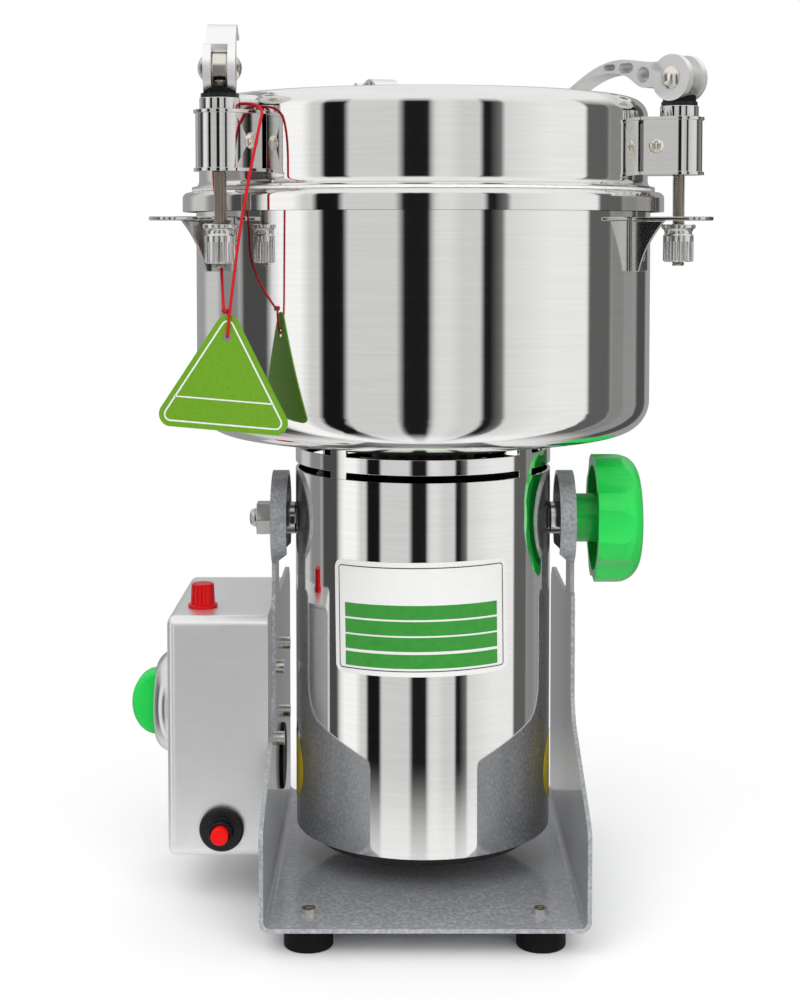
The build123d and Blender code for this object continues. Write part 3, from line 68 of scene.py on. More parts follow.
# Places read from the frame
shell_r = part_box("motor_shell")[1].x
latch_names = ("left", "right", "rear")
latch_pins = {name: Vector(joints["lever_flip_" + name]["pos_m"]) for name in latch_names}
latch_axes = {name: Vector(joints["lever_flip_" + name]["axis"]) for name in latch_names}


# Materials
coat_roughness, grain_depth = 0.06, 0.0002


def new_material(name, colour, metallic=0.0, roughness=0.5, coat=0.0, gloss=0.5):
    made = bpy.data.materials.new(name)
    made.use_nodes = True
    shader = made.node_tree.nodes["Principled BSDF"]
    shader.inputs["Base Color"].default_value = (*colour, 1)
    shader.inputs["Metallic"].default_value = metallic
    shader.inputs["Roughness"].default_value = roughness
    shader.inputs["Coat Weight"].default_value = coat
    shader.inputs["Coat Roughness"].default_value = coat_roughness
    shader.inputs["Specular IOR Level"].default_value = gloss
    return made


def noise(made, scale, stretch=(1, 1, 1), detail=4.0):
    """A noise texture in the object's own coordinates, stretched along its axes."""
    tree = made.node_tree
    place = tree.nodes.new("ShaderNodeTexCoord")
    sized = tree.nodes.new("ShaderNodeMapping")
    sized.inputs["Scale"].default_value = stretch
    texture = tree.nodes.new("ShaderNodeTexNoise")
    texture.inputs["Scale"].default_value = scale
    texture.inputs["Detail"].default_value = detail
    tree.links.new(place.outputs["Object"], sized.inputs["Vector"])
    tree.links.new(sized.outputs["Vector"], texture.inputs["Vector"])
    return texture.outputs["Fac"]


def spread(made, value, low, high, start=0.3, end=0.7):
    """The value taken from its range start to end over to the range low to high."""
    ranged = made.node_tree.nodes.new("ShaderNodeMapRange")
    ranged.inputs["From Min"].default_value = start
    ranged.inputs["From Max"].default_value = end
    ranged.inputs["To Min"].default_value = low
    ranged.inputs["To Max"].default_value = high
    made.node_tree.links.new(value, ranged.inputs["Value"])
    return ranged.outputs["Result"]


def vary_roughness(made, value, low, high):
    shader = made.node_tree.nodes["Principled BSDF"]
    made.node_tree.links.new(spread(made, value, low, high), shader.inputs["Roughness"])


def vary_colour(made, value, dark, light):
    tree = made.node_tree
    mixed = tree.nodes.new("ShaderNodeMix")
    mixed.data_type = "RGBA"
    mixed.inputs["A"].default_value = (*dark, 1)
    mixed.inputs["B"].default_value = (*light, 1)
    tree.links.new(spread(made, value, 0, 1), mixed.inputs["Factor"])
    tree.links.new(mixed.outputs["Result"], tree.nodes["Principled BSDF"].inputs["Base Color"])


def add_bump(made, value, strength, distance):
    tree = made.node_tree
    bump = tree.nodes.new("ShaderNodeBump")
    bump.inputs["Strength"].default_value = strength
    bump.inputs["Distance"].default_value = distance
    tree.links.new(value, bump.inputs["Height"])
    tree.links.new(bump.outputs["Normal"], tree.nodes["Principled BSDF"].inputs["Normal"])


def shade(colour, factor):
    return tuple(min(1, c * factor) for c in colour)


def metal(name, colour, roughness, brushed=(1, 1, 1), scale=60, bump=0.0, metallic=1.0, blotch=0.05):
    made = new_material(name, colour, metallic=metallic, roughness=roughness)
    grain = noise(made, scale, brushed)
    vary_roughness(made, grain, roughness * (1 - 4 * blotch), roughness * (1 + 4 * blotch))
    vary_colour(made, grain, shade(colour, 1 - blotch), shade(colour, 1 + blotch))
    if bump:
        add_bump(made, grain, bump, grain_depth)
    return made


def plastic(name, colour, roughness, coat=0.0, scale=300, bump=0.05, blotch=0.07, gloss=0.3):
    made = new_material(name, colour, roughness=roughness, coat=coat, gloss=gloss)
    grain = noise(made, scale)
    vary_roughness(made, grain, roughness * 0.8, roughness * 1.2)
    vary_colour(made, grain, shade(colour, 1 - blotch), shade(colour, 1 + blotch))
    add_bump(made, grain, bump, grain_depth)
    return made


def hammer_paint(name, colour, cells_per_m=620, depth=0.0004):
    """Grey paint dried into small dimples."""
    made = new_material(name, colour, metallic=0.3, roughness=0.36, coat=0.45)
    tree = made.node_tree
    cells = tree.nodes.new("ShaderNodeTexVoronoi")
    cells.feature = "SMOOTH_F1"
    cells.inputs["Scale"].default_value = cells_per_m
    place = tree.nodes.new("ShaderNodeTexCoord")
    tree.links.new(place.outputs["Object"], cells.inputs["Vector"])
    vary_colour(made, cells.outputs["Distance"], shade(colour, 0.8), shade(colour, 1.15))
    vary_roughness(made, cells.outputs["Distance"], 0.3, 0.44)
    add_bump(made, cells.outputs["Distance"], 0.6, depth)
    return made


brushed_round = {"brushed": (0.03, 0.03, 1), "scale": 700, "blotch": 0.03}
steel = metal("polished steel", (0.86, 0.855, 0.84), 0.05, **brushed_round)
housing_steel = metal("housing steel", (0.70, 0.695, 0.68), 0.05, **brushed_round)
satin = metal("satin steel", (0.74, 0.735, 0.72), 0.2, scale=120, blotch=0.02)
thread_steel = metal("thread steel", (0.50, 0.465, 0.41), 0.16, scale=200, blotch=0.03)
bracket_steel = metal("bracket steel", (0.64, 0.635, 0.62), 0.12, scale=120, blotch=0.02)
nickel = metal("nickel screw", (0.84, 0.80, 0.73), 0.17, scale=240, blotch=0.03)
lever_metal = metal("satin lever", (0.86, 0.86, 0.855), 0.32, scale=90, metallic=0.72, blotch=0.012)
silver = metal(
    "satin silver", (0.88, 0.885, 0.89), 0.34, brushed=(0.2, 0.2, 3), scale=300, metallic=0.85, blotch=0.012
)
hammer = hammer_paint("hammer tone grey", (0.39, 0.40, 0.425))
green = plastic("green plastic", (0.016, 0.62, 0.085), 0.22, coat=0.2, scale=40, bump=0.02, gloss=0.3)
red = plastic("red plastic", (0.84, 0.008, 0.008), 0.22, gloss=0.15)
lens = plastic("red lens", (0.52, 0.001, 0.004), 0.1, bump=0.0, gloss=0.25)
# Black plastic for the black parts; on the upper end bell the same black is painted shade for the dark neck gap
black = plastic("black plastic and painted shade", (0.008, 0.008, 0.009), 0.3, gloss=0.3)
rubber = plastic("black rubber", (0.006, 0.006, 0.006), 0.6, scale=500, bump=0.15, gloss=0.1)
white_rubber = plastic("white seal rubber", (0.80, 0.80, 0.78), 0.5)
copper = metal("copper wire", (0.72, 0.36, 0.18), 0.35, brushed=(1, 1, 8), scale=300, bump=0.2)
iron = metal("lamination iron", (0.30, 0.30, 0.31), 0.45, brushed=(1, 1, 30), scale=60, bump=0.2)
cast = metal("cast aluminium", (0.62, 0.63, 0.64), 0.45, scale=400, bump=0.2)
tag_green = plastic("tag card", (0.13, 0.31, 0.014), 0.38, scale=700, bump=0.03)
tag_white = plastic("tag line", (0.74, 0.75, 0.73), 0.4)
string_red = plastic("red string", (0.50, 0.010, 0.016), 0.7, scale=1800, bump=0.5)
paper = plastic("label paper", (0.77, 0.77, 0.755), 0.36, scale=400, bump=0.01, blotch=0.015)
ink = plastic("label edge", (0.015, 0.015, 0.015), 0.4)
bar_green = plastic("label bars", (0.038, 0.265, 0.036), 0.38)
yellow = plastic("yellow sticker", (0.80, 0.62, 0.02), 0.4)

looks = {
    hammer: ("tilt_bracket",),
    silver: ("control_box_shell", "control_box_cover"),
    steel: ("motor_shell", "vent_collar", "bowl", "lid_shell"),
    housing_steel: ("latch_housings", "neck_spacers"),
    bracket_steel: ("latch_brackets", "pivot_bolt", "pivot_nuts", "pivot_spacers"),
    satin: (
        "motor_bearings", "motor_shaft",
        "lower_blade", "blade_spacer", "upper_blade", "blade_nut", "timer_skirt",
        "latch_rod_left", "latch_rod_right", "latch_rod_rear",
        "knurled_nut_left", "knurled_nut_right", "knurled_nut_rear",
    ),
    nickel: ("foot_screws", "box_screws", "bowl_screws", "housing_screws"),
    lever_metal: ("cam_lever_left", "cam_lever_right", "cam_lever_rear"),
    green: ("clamp_knob", "timer_grip"),
    red: ("reset_button",),
    lens: ("pilot_lamp",),
    black: (
        "breaker_body", "breaker_bezel", "timer_body", "mains_gland", "bottom_cover", "cooling_fan",
        # The upper end bell is cast metal given this black as painted shade, standing in for the shade in the neck
        # gap between the bowl and the collar
        "saddle_washers", "carbon_brushes", "upper_end_bell",
    ),
    rubber: ("rubber_feet", "foot_washers", "cable_grommet", "shaft_seal"),
    white_rubber: ("lid_seal",),
    copper: ("field_windings", "armature_windings", "commutator"),
    iron: ("stator_core", "armature_core"),
    cast: ("lower_end_bell", "brush_holders"),
    tag_green: ("hang_tag",),
    string_red: ("tag_string",),
}
look_of = {node: made for made, names in looks.items() for node in names}
for node, made in look_of.items():
    nodes[node].data.materials.clear()
    nodes[node].data.materials.append(made)


# Pieces
slot_of = {row["node"]: row["material_slot"] for row in frame["record"]["subparts"]}
body_of = {node: body for body, held in frame["record"]["behaviour"]["bodies"].items() for node in held}


def surface(rows, ring=False):
    """A mesh of quads between rows of points; a ring joins each row's end to its start."""
    form = bmesh.new()
    lines = [[form.verts.new(point) for point in row] for row in rows]
    for near, far in zip(lines, lines[1:]):
        count = len(near)
        for k in range(count if ring else count - 1):
            after = (k + 1) % count
            form.faces.new((near[k], near[after], far[after], far[k]))
    bmesh.ops.remove_doubles(form, verts=form.verts, dist=0.001 * mm)
    bmesh.ops.recalc_face_normals(form, faces=form.faces)
    mesh = bpy.data.meshes.new("surface")
    form.to_mesh(mesh)
    form.free()
    return mesh


def turns(segments):
    return [TURN * k / segments for k in range(segments)]


def polar(r, angle, z):
    """A point in metres from a radius, an angle and a height in millimetres."""
    return (r * mm * math.cos(angle), r * mm * math.sin(angle), z * mm)


def lathe(profile, segments=64):
    """A profile of (radius, height) points in millimetres turned round the Z axis."""
    return surface([[polar(r, a, z) for a in turns(segments)] for r, z in profile], ring=True)


def dome(radius, height, steps=10):
    """A lathe profile of a cap from its edge to its top."""
    ball = (radius**2 + height**2) / (2 * height)
    edge = math.asin(min(1, radius / ball))
    angles = [edge * (1 - k / steps) for k in range(steps + 1)]
    return [(ball * math.sin(a), ball * math.cos(a) - ball + height) for a in angles]


def link(name, mesh, made, body, smooth=40):
    """A mesh as a piece that rides on a body; edges of less than smooth degrees are shaded round."""
    piece = bpy.data.objects.new(name, mesh)
    scene.collection.objects.link(piece)
    mesh.materials.clear()
    mesh.materials.append(made)
    mesh.polygons.foreach_set("use_smooth", [True] * len(mesh.polygons))
    mesh.set_sharp_from_angle(angle=math.radians(smooth))
    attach(piece, body)
    return piece


def join(meshes):
    """One mesh out of several, each given with the matrix that places it."""
    form = bmesh.new()
    for mesh, place in meshes:
        mesh.transform(place)
        form.from_mesh(mesh)
    whole = bpy.data.meshes.new("joined")
    form.to_mesh(whole)
    form.free()
    return whole


def round_edges(piece, bevel, segments=2, smooth=32):
    rounded = piece.modifiers.new("edges", "BEVEL")
    rounded.width = bevel * mm
    rounded.segments = segments
    rounded.limit_method = "ANGLE"
    rounded.angle_limit = math.radians(smooth)
    rounded.harden_normals = True


def dress(node, bevel, segments=2, smooth=32):
    """A copy of a CAD node with rounded edges, shown in its place."""
    mesh = nodes[node].data.copy()
    form = bmesh.new()
    form.from_mesh(mesh)
    bmesh.ops.remove_doubles(form, verts=form.verts, dist=0.01 * mm)
    bmesh.ops.dissolve_limit(form, angle_limit=math.radians(1), verts=form.verts, edges=form.edges)
    form.to_mesh(mesh)
    form.free()
    piece = link(node + "_look", mesh, look_of[node], body_of[node], smooth)
    round_edges(piece, bevel, segments, smooth)
    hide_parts(node)
    return piece


for node, bevel in (
    ("tilt_bracket", 0.5), ("control_box_shell", 0.6), ("latch_housings", 0.4), ("neck_spacers", 0.5),
    ("cam_lever_left", 0.7), ("cam_lever_right", 0.7), ("cam_lever_rear", 0.7), ("clamp_knob", 1.0),
    ("timer_grip", 2.2), ("timer_skirt", 0.5), ("breaker_bezel", 0.5),
    ("pivot_spacers", 0.5), ("pivot_nuts", 0.5), ("vent_collar", 0.25), ("bottom_cover", 0.6),
):
    dress(node, bevel)


# Lid: a rounded lip that sweeps up into the wall, and a rounded shoulder
lid_low, lid_high = (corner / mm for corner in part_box("lid_shell"))
lid_wall, lip_out, lip_t, lip_rise, shoulder_r = 1.8, 3.9, 1.4, 5.0, 9.5


def bow(start, corner, end, steps=10):
    """Points from start to end along a curve that bends towards a corner."""
    shares = [k / steps for k in range(steps + 1)]
    a, b, c = Vector(start), Vector(corner), Vector(end)
    return [tuple(a.lerp(b, s).lerp(b.lerp(c, s), s)) for s in shares]


def quarter(r, z, radius, steps=16):
    """Points round a quarter circle about (r, z), from level to upright."""
    angles = [TURN / 4 * k / steps for k in range(steps + 1)]
    return [(r + radius * math.cos(a), z + radius * math.sin(a)) for a in angles]


def lid_profile():
    lip_r, foot, top = lid_high.x, lid_low.z, lid_high.z
    wall_r, lip_half = lip_r - lip_out, lip_t / 2
    shoulder = (wall_r - shoulder_r, top - shoulder_r)
    lip_top, lip_in = foot + lip_t, lip_r - lip_half
    edge_low, edge, edge_top = (lip_in, foot), (lip_r, foot + lip_half), (lip_in, lip_top)
    lip = [edge_low, *bow(edge_low, (lip_r, foot), edge, 4), *bow(edge, (lip_r, lip_top), edge_top, 4)[1:]]
    sweep = bow(edge_top, (wall_r, lip_top), (wall_r, foot + lip_rise))[1:]
    outside = [*lip, *sweep, *quarter(*shoulder, shoulder_r), (0, top)]
    inside = [(0, top - lid_wall), *reversed(quarter(*shoulder, shoulder_r - lid_wall))]
    bore_foot = (wall_r - lid_wall, foot)
    return [bore_foot, *outside, *inside, bore_foot]


lid_mesh = lathe(lid_profile(), 240)
lid_look = link("lid_shell_look", lid_mesh, steel, body_of["lid_shell"], 35)
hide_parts("lid_shell")


# Latch rods: a rolled thread, the eye round the pin, the pin's two domed heads, the saddle under the cam
# and the nut on the rod's foot
rod_r, rod_core_r, rod_pitch = 3.4, 2.65, 1.25
rod_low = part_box("latch_rod_left")[0].z / mm
eye_r, eye_half_w, eye_edge_w, eye_edge_in, eye_rod_share = 7.4, 3.7, 0.6, 0.5, 0.8
pin_r, head_r, head_h, head_start = 3.0, 5.8, 2.6, 8.2
saddle_r, saddle_foot, saddle_bore_share, cam_clear_r = 8.6, 426.6, 0.38, 12.35


def thread(low, high, steps=8, segments=28):
    """A rolled thread round the Z axis, its ridge climbing one pitch in each turn."""
    rows = []
    for k in range(int((high - low) / rod_pitch * steps) + 1):
        z = low + k * rod_pitch / steps
        row = []
        for turn in range(segments):
            share = turn / segments
            wave = abs(((z / rod_pitch - share) % 1) * 2 - 1)
            r = rod_core_r + (rod_r - rod_core_r) * wave
            row.append(polar(r, TURN * share, z))
        rows.append(row)
    rows.insert(0, [(0, 0, low * mm)] * segments)
    return surface(rows, ring=True)


def pin_profile():
    """The pin and its eye along their axis, from one domed head to the other."""
    eye = [(eye_r, eye_half_w - eye_edge_w), (eye_r - eye_edge_in, eye_half_w), (pin_r, eye_half_w)]
    half = [*eye, (pin_r, head_start), *((r, head_start + z) for r, z in dome(head_r, head_h))]
    return [(r, -z) for r, z in reversed(half)] + half


def saddle_mesh(pin_z, segments=48, rings=10):
    """A collar whose top follows the cam's disc round the pin, along the X axis."""
    rows = [[polar(saddle_r, a, saddle_foot) for a in turns(segments)]]
    for k in range(rings + 1):
        r = saddle_r * (1 - k / rings * (1 - saddle_bore_share))
        tops = [pin_z - math.sqrt(cam_clear_r**2 - (r * math.cos(a)) ** 2) for a in turns(segments)]
        rows.append([polar(r, a, top) for a, top in zip(turns(segments), tops)])
    return surface(rows, ring=True)


nut_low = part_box("knurled_nut_left")[0].z / mm
nut_r, nut_bore_r, nut_band_r, nut_neck_r, nut_flange_r = 8.0, 3.4, 7.9, 7.1, 8.85
nut_grooves_top, nut_band_top, nut_neck_z, nut_flange_low, nut_h = 10.6, 13.6, 15.1, 17.6, 19.5
nut_flutes, nut_groove, nut_groove_share = 24, 0.75, 0.7
nut_foot_in, nut_foot_h, nut_edge = 0.9, 0.8, 0.4


def nut_mesh(per_flute=8):
    """A nut with a flange, a hollow neck, a plain band and grooves round its lower half.

    Its profile's points are (radius, height, 1 where grooved or else 0).
    Those of the hollow are given (out, up) from the neck.
    """
    hollow = ((0.2, -0.8), (0, 0), (0.3, 1.1), (0.9, 1.9))
    profile = (
        (nut_bore_r, 0, 0), (nut_r - nut_foot_in, 0, 0),
        (nut_r, nut_foot_h, 1), (nut_r, nut_grooves_top, 1),
        (nut_band_r, nut_grooves_top, 0), (nut_band_r, nut_band_top, 0),
        *((nut_neck_r + out, nut_neck_z + up, 0) for out, up in hollow),
        (nut_flange_r, nut_flange_low, 0), (nut_flange_r, nut_h - nut_edge, 0),
        (nut_flange_r - nut_edge, nut_h, 0), (nut_bore_r, nut_h, 0),
    )
    angles = turns(nut_flutes * per_flute)
    rows = []
    for r, up, grooved in profile:
        row = []
        for k, a in enumerate(angles):
            beside = abs((k % per_flute) / per_flute - 0.5) * 2
            reach = r - grooved * nut_groove * max(0, 1 - (beside / nut_groove_share) ** 2)
            row.append(polar(reach, a, nut_low + up))
        rows.append(row)
    return surface(rows, ring=True)


for name in latch_names:
    pin, across = latch_pins[name], latch_axes[name]
    along = across.cross(Vector((0, 0, 1)))
    pin_z = pin.z / mm
    upright = Matrix.Translation((pin.x, pin.y, 0))
    lying = Matrix.Translation(pin) @ across.to_track_quat("Z", "Y").to_matrix().to_4x4()
    rod = thread(rod_low, pin_z - eye_r * eye_rod_share)
    rod.transform(upright)
    piece = link("rod_" + name + "_look", rod, thread_steel, "rod_" + name, 30)
    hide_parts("latch_rod_" + name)
    pin_mesh = lathe(pin_profile(), 40)
    pin_mesh.transform(lying)
    link("pin_" + name, pin_mesh, nickel, "rod_" + name, 30)
    nut = nut_mesh()
    nut.transform(upright)
    piece = link("nut_" + name + "_look", nut, satin, "nut_" + name, 35)
    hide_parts("knurled_nut_" + name)
    saddle = saddle_mesh(pin_z)
    saddle.transform(upright @ along.to_track_quat("X", "Z").to_matrix().to_4x4())
    link("saddle_" + name, saddle, rubber, "rod_" + name, 50)


# Shelf brackets: a slotted tongue, a back plate on the bowl and a hollow-edged web
shelf_top, shelf_t, shelf_half_w, shelf_end_r, shelf_slot_r = 366.8, 2.0, 11.5, 8.0, 3.8
shelf_back_r, shelf_end, shelf_orbit = 122.6, 161.0, 138.5
plate_t, plate_h, web_reach, web_foot, web_bend = 1.8, 28.0, 18.0, 4.5, 3.0
lock_step, bracket_bevel = math.radians(10), 0.6


def plate(outline, thick):
    """A flat outline in millimetres given a thickness downwards."""
    form = bmesh.new()
    face = form.faces.new([form.verts.new((x * mm, y * mm, 0)) for x, y in outline])
    grown = bmesh.ops.extrude_face_region(form, geom=[face])["geom"]
    moved = [part for part in grown if isinstance(part, bmesh.types.BMVert)]
    bmesh.ops.translate(form, verts=moved, vec=(0, 0, -thick * mm))
    bmesh.ops.recalc_face_normals(form, faces=form.faces)
    mesh = bpy.data.meshes.new("plate")
    form.to_mesh(mesh)
    form.free()
    return mesh


def arc(centre, radius, start, end, steps=12):
    """Points round a centre from angle start to end in degrees."""
    angles = [math.radians(start + (end - start) * k / steps) for k in range(steps + 1)]
    return [(centre[0] + radius * math.cos(a), centre[1] + radius * math.sin(a)) for a in angles]


def shelf_outline():
    wall = math.degrees(math.asin(shelf_half_w / shelf_back_r))
    tip_x, tip_y = shelf_end - shelf_end_r, shelf_half_w - shelf_end_r
    return [
        *arc((0, 0), shelf_back_r, wall, -wall),
        *arc((tip_x, -tip_y), shelf_end_r, -90, 0),
        *arc((tip_x, tip_y), shelf_end_r, 0, 90),
        (shelf_orbit + shelf_slot_r, shelf_half_w),
        *arc((shelf_orbit, 0), shelf_slot_r, 0, -180),
        (shelf_orbit - shelf_slot_r, shelf_half_w),
    ]


def back_outline():
    wall = math.degrees(math.asin(shelf_half_w / shelf_back_r))
    return [*arc((0, 0), shelf_back_r, wall, -wall), *arc((0, 0), shelf_back_r + plate_t, -wall, wall)]


def web_outline(steps=12):
    inner = plate_t / 2
    edge = bow((web_reach, -shelf_t), (web_foot + web_bend, -plate_h / 2), (web_foot, -plate_h), steps)
    return [(shelf_back_r + x, y) for x, y in [(inner, -shelf_t), *edge, (inner, -plate_h)]]


plates = []
for name in latch_names:
    pin = latch_pins[name]
    turned = Matrix.Rotation(math.atan2(pin.y, pin.x) - lock_step, 4, "Z")
    raised = turned @ Matrix.Translation((0, 0, shelf_top * mm))
    upended = raised @ Matrix.Translation((0, -shelf_half_w * mm, 0)) @ Matrix.Rotation(TURN / 4, 4, "X")
    plates += [
        (plate(shelf_outline(), shelf_t), raised),
        (plate(back_outline(), plate_h), raised),
        (plate(web_outline(), plate_t), upended),
    ]
bracket_body, bracket_slot = body_of["latch_brackets"], slot_of["latch_brackets"]
brackets = link("latch_brackets_look", join(plates), bracket_steel, bracket_body, 32)
round_edges(brackets, bracket_bevel)
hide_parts("latch_brackets")


# Cross-head screws: a dome with two crossed grooves sunk into it
groove_half_share, groove_reach_share, groove_wall, groove_end = 0.16, 0.62, 1.6, 3


def cross_screw(radius, height, depth, segments=64, rings=18):
    cap = dome(radius, height, rings)
    rows = []
    for r, z in cap:
        row = []
        for a in turns(segments):
            x, y = r * math.cos(a), r * math.sin(a)
            near = min(abs(x), abs(y)) / (groove_half_share * radius)
            far = max(abs(x), abs(y)) / (groove_reach_share * radius)
            sink = depth * max(0, min(1, groove_wall - near)) * max(0, min(1, (1 - far) * groove_end))
            row.append((x * mm, y * mm, (z - sink) * mm))
        rows.append(row)
    return surface(rows, ring=True)


def screw_set(node, radius, height, depth, places):
    """Domed cross-head screws for a CAD node, at places of (point, outward direction)."""
    heads = []
    for spot, facing in places:
        turned = Vector(facing).to_track_quat("Z", "Y").to_matrix().to_4x4()
        heads.append((cross_screw(radius, height, depth), Matrix.Translation(spot) @ turned))
    return link(node + "_heads", join(heads), nickel, body_of[node], 55)


housing_low, housing_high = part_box("latch_housings")
housing_half_w, screw_in = 12.0 * mm, 10.0 * mm
screw_places = []
for name in latch_names:
    pin = latch_pins[name]
    out = Vector((pin.x, pin.y, 0)).normalized()
    side = Vector((-out.y, out.x, 0))
    middle = Vector((pin.x, pin.y, (housing_low.z + housing_high.z) / 2)) - out * screw_in
    screw_places += [(middle + side * housing_half_w, side), (middle - side * housing_half_w, -side)]
screw_r, screw_h, screw_groove = 4.1, 2.5, 1.7
heads = screw_set("housing_screws", screw_r, screw_h, screw_groove, screw_places)
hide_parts("housing_screws")


# Sheets on the motor's shell: places are given along its girth from the front, and in height
paper_lift, print_lift, sticker_lift = 0.12, 0.2, 0.10


def on_shell(along, height, lift):
    angle = along * mm / shell_r
    reach = shell_r + lift * mm
    return (reach * math.sin(angle), -reach * math.cos(angle), height * mm)


def stick(name, rows, made, lift, ring=False):
    mesh = surface([[on_shell(along, height, lift) for along, height in row] for row in rows], ring)
    return link(name, mesh, made, "head")


label_half_w, label_half_h, label_round, label_least_round = 48.2, 29.5, 4.5, 0.2
label_frame_insets = (2.6, 3.1)
label_along, label_z, label_turn = -2.0, 161.0, math.radians(0.9)


def label_point(across, up):
    return (
        label_along + across * math.cos(label_turn) - up * math.sin(label_turn),
        label_z + across * math.sin(label_turn) + up * math.cos(label_turn),
    )


def label_loop(inset, columns=20, steps=6):
    """The label's rounded outline, moved in by inset."""
    w, h = label_half_w - inset, label_half_h - inset
    r = max(label_round - inset, label_least_round)
    loop = []
    for k, (x, y) in enumerate(((w, h), (-w, h), (-w, -h), (w, -h))):
        centre = (x - math.copysign(r, x), y - math.copysign(r, y))
        for step in range(steps + 1):
            a = TURN / 4 * (k + step / steps)
            loop.append((centre[0] + r * math.cos(a), centre[1] + r * math.sin(a)))
        for step in range(1, columns):
            s = step / columns
            if k % 2 == 0:
                loop.append((centre[0] * (1 - 2 * s), y))
            else:
                loop.append((x, centre[1] * (1 - 2 * s)))
    return [label_point(across, up) for across, up in loop]


def label_block(name, half_w, low, high, made, lift, columns=40):
    """A block of print on the label, from low to high above its middle."""
    across = [half_w * (2 * k / columns - 1) for k in range(columns + 1)]
    return stick(name, [[label_point(a, up) for a in across] for up in (low, high)], made, lift)


paper_rings = 20
paper_rows = [label_loop(label_half_h * k / paper_rings) for k in range(paper_rings + 1)]
stick("label_paper", paper_rows, paper, paper_lift, ring=True)
stick("label_frame", [label_loop(inset) for inset in label_frame_insets], ink, print_lift, ring=True)
bar_half_w, bar_lows, bar_h = 41.6, (0.1, -8.2, -16.4, -25.2), 7.3
for number, low in enumerate(bar_lows):
    label_block("label_bar_%d" % number, bar_half_w, low, low + bar_h, bar_green, print_lift)

sticker_r, sticker_z, sticker_along = 18.5, 69.0, 101.0
for side, where in ((-1, "left"), (1, "right")):
    rings = [
        [(side * sticker_along + r * math.cos(a), sticker_z + r * math.sin(a)) for a in turns(48)]
        for r in (0, sticker_r / 3, sticker_r * 2 / 3, sticker_r)
    ]
    stick("sticker_" + where, rings, yellow, sticker_lift, ring=True)

# Hang tag: a white line inside its edge and a rule across it
tag_hole = Vector((-96.3, -107.0, 308.0)) * mm
tag_yaw, tag_roll = math.radians(12.0), math.radians(3.5)
tag_half_w, tag_top, tag_low, tag_round = 37.3, 16.6, -45.7, 6.0
tag_line_insets, tag_print_lift = (2.6, 3.4), 0.55
tag_rule_up, tag_rule_half_w, tag_rule_h = -31.0, 25.5, 0.7
tag_face = Vector((-math.sin(tag_yaw), -math.cos(tag_yaw), 0))
tag_level = Vector((math.cos(tag_yaw), -math.sin(tag_yaw), 0))
tag_right = tag_level * math.cos(tag_roll) - Vector((0, 0, math.sin(tag_roll)))
tag_up = tag_face.cross(tag_right)


def tag_loop(inset, steps=8):
    """The tag's rounded outline, moved in by inset."""
    tips = [Vector((0, tag_top)), Vector((-tag_half_w, tag_low)), Vector((tag_half_w, tag_low))]
    loop = []
    for k, tip in enumerate(tips):
        before = (tips[k - 1] - tip).normalized()
        after = (tips[(k + 1) % 3] - tip).normalized()
        inward = (before + after).normalized()
        half = before.angle(after) / 2
        centre = tip + inward * tag_round / math.sin(half)
        start = math.atan2(-inward.y, -inward.x)
        sweep = math.pi - 2 * half
        for step in range(steps + 1):
            angle = start + sweep * (step / steps - 0.5)
            loop.append(centre + Vector((math.cos(angle), math.sin(angle))) * (tag_round - inset))
    return loop


def on_tag(x, y):
    return tag_hole + (tag_right * x + tag_up * y + tag_face * tag_print_lift) * mm


line_rows = [[on_tag(*point) for point in tag_loop(inset)] for inset in tag_line_insets]
tag_line = link("tag_line", surface(line_rows, ring=True), tag_white, "lid")
rule_ups = (tag_rule_up, tag_rule_up + tag_rule_h)
rule_rows = [[on_tag(-tag_rule_half_w, up), on_tag(tag_rule_half_w, up)] for up in rule_ups]
tag_rule = link("tag_rule", surface(rule_rows), tag_white, "lid")

# String: the CAD route's points, then a knot where its ends meet behind the tag
string_route = (
    (-96.0, -104.3, 320.0), (-96.3, -104.6, 308.2), (-96.3, -109.6, 308.2), (-91.0, -108.5, 353.0),
    (-86.8, -107.5, 378.0), (-81.0, -105.5, 408.0), (-78.3, -98.9, 422.2), (-104.2, -73.4, 422.2),
    (-106.3, -78.8, 387.0), (-101.9, -84.4, 366.0), (-101.2, -84.9, 338.0), (-98.2, -104.2, 320.0),
)
string_r = 0.75
string_line = bpy.data.curves.new("string", "CURVE")
string_line.dimensions = "3D"
string_line.bevel_depth = string_r * mm
string_line.bevel_resolution = 4
string_line.resolution_u = 16
string_line.use_fill_caps = True
spline = string_line.splines.new("NURBS")
spline.points.add(len(string_route) - 1)
for point, place in zip(spline.points, string_route):
    point.co = (*(Vector(place) * mm), 1)
spline.order_u = 3
spline.use_endpoint_u = True
string_line.materials.append(string_red)
string = bpy.data.objects.new("string", string_line)
scene.collection.objects.link(string)
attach(string, "lid")
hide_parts("tag_string")

knot_place, knot_size, knot_string_r = Vector((-97.1, -104.1, 320.6)), 0.62, 0.68
knot_rows = []
for a in turns(72):
    sin, cos, sin2, cos2 = math.sin(a), math.cos(a), math.sin(2 * a), math.cos(2 * a)
    centre = Vector((sin + 2 * sin2, cos - 2 * cos2, -math.sin(3 * a)))
    way = Vector((cos + 4 * cos2, -sin + 4 * sin2, -3 * math.cos(3 * a)))
    flat = Vector((cos, -sin, 0)).cross(way).normalized()
    second = way.normalized().cross(flat)
    round_it = [(flat * math.cos(b) + second * math.sin(b)) * knot_string_r for b in turns(10)]
    knot_rows.append([(knot_place + centre * knot_size + beside) * mm for beside in round_it])
knot_rows.append(knot_rows[0])
knot = link("string_knot", surface(knot_rows, ring=True), string_red, "lid", 60)


# Studio
def calculate(tree, operation, first, second=None):
    """A math node of a socket, and of a second socket or number where one is given."""
    made = tree.nodes.new("ShaderNodeMath")
    made.operation = operation
    tree.links.new(first, made.inputs[0])
    if isinstance(second, (int, float)):
        made.inputs[1].default_value = second
    elif second:
        tree.links.new(second, made.inputs[1])
    return made.outputs[0]


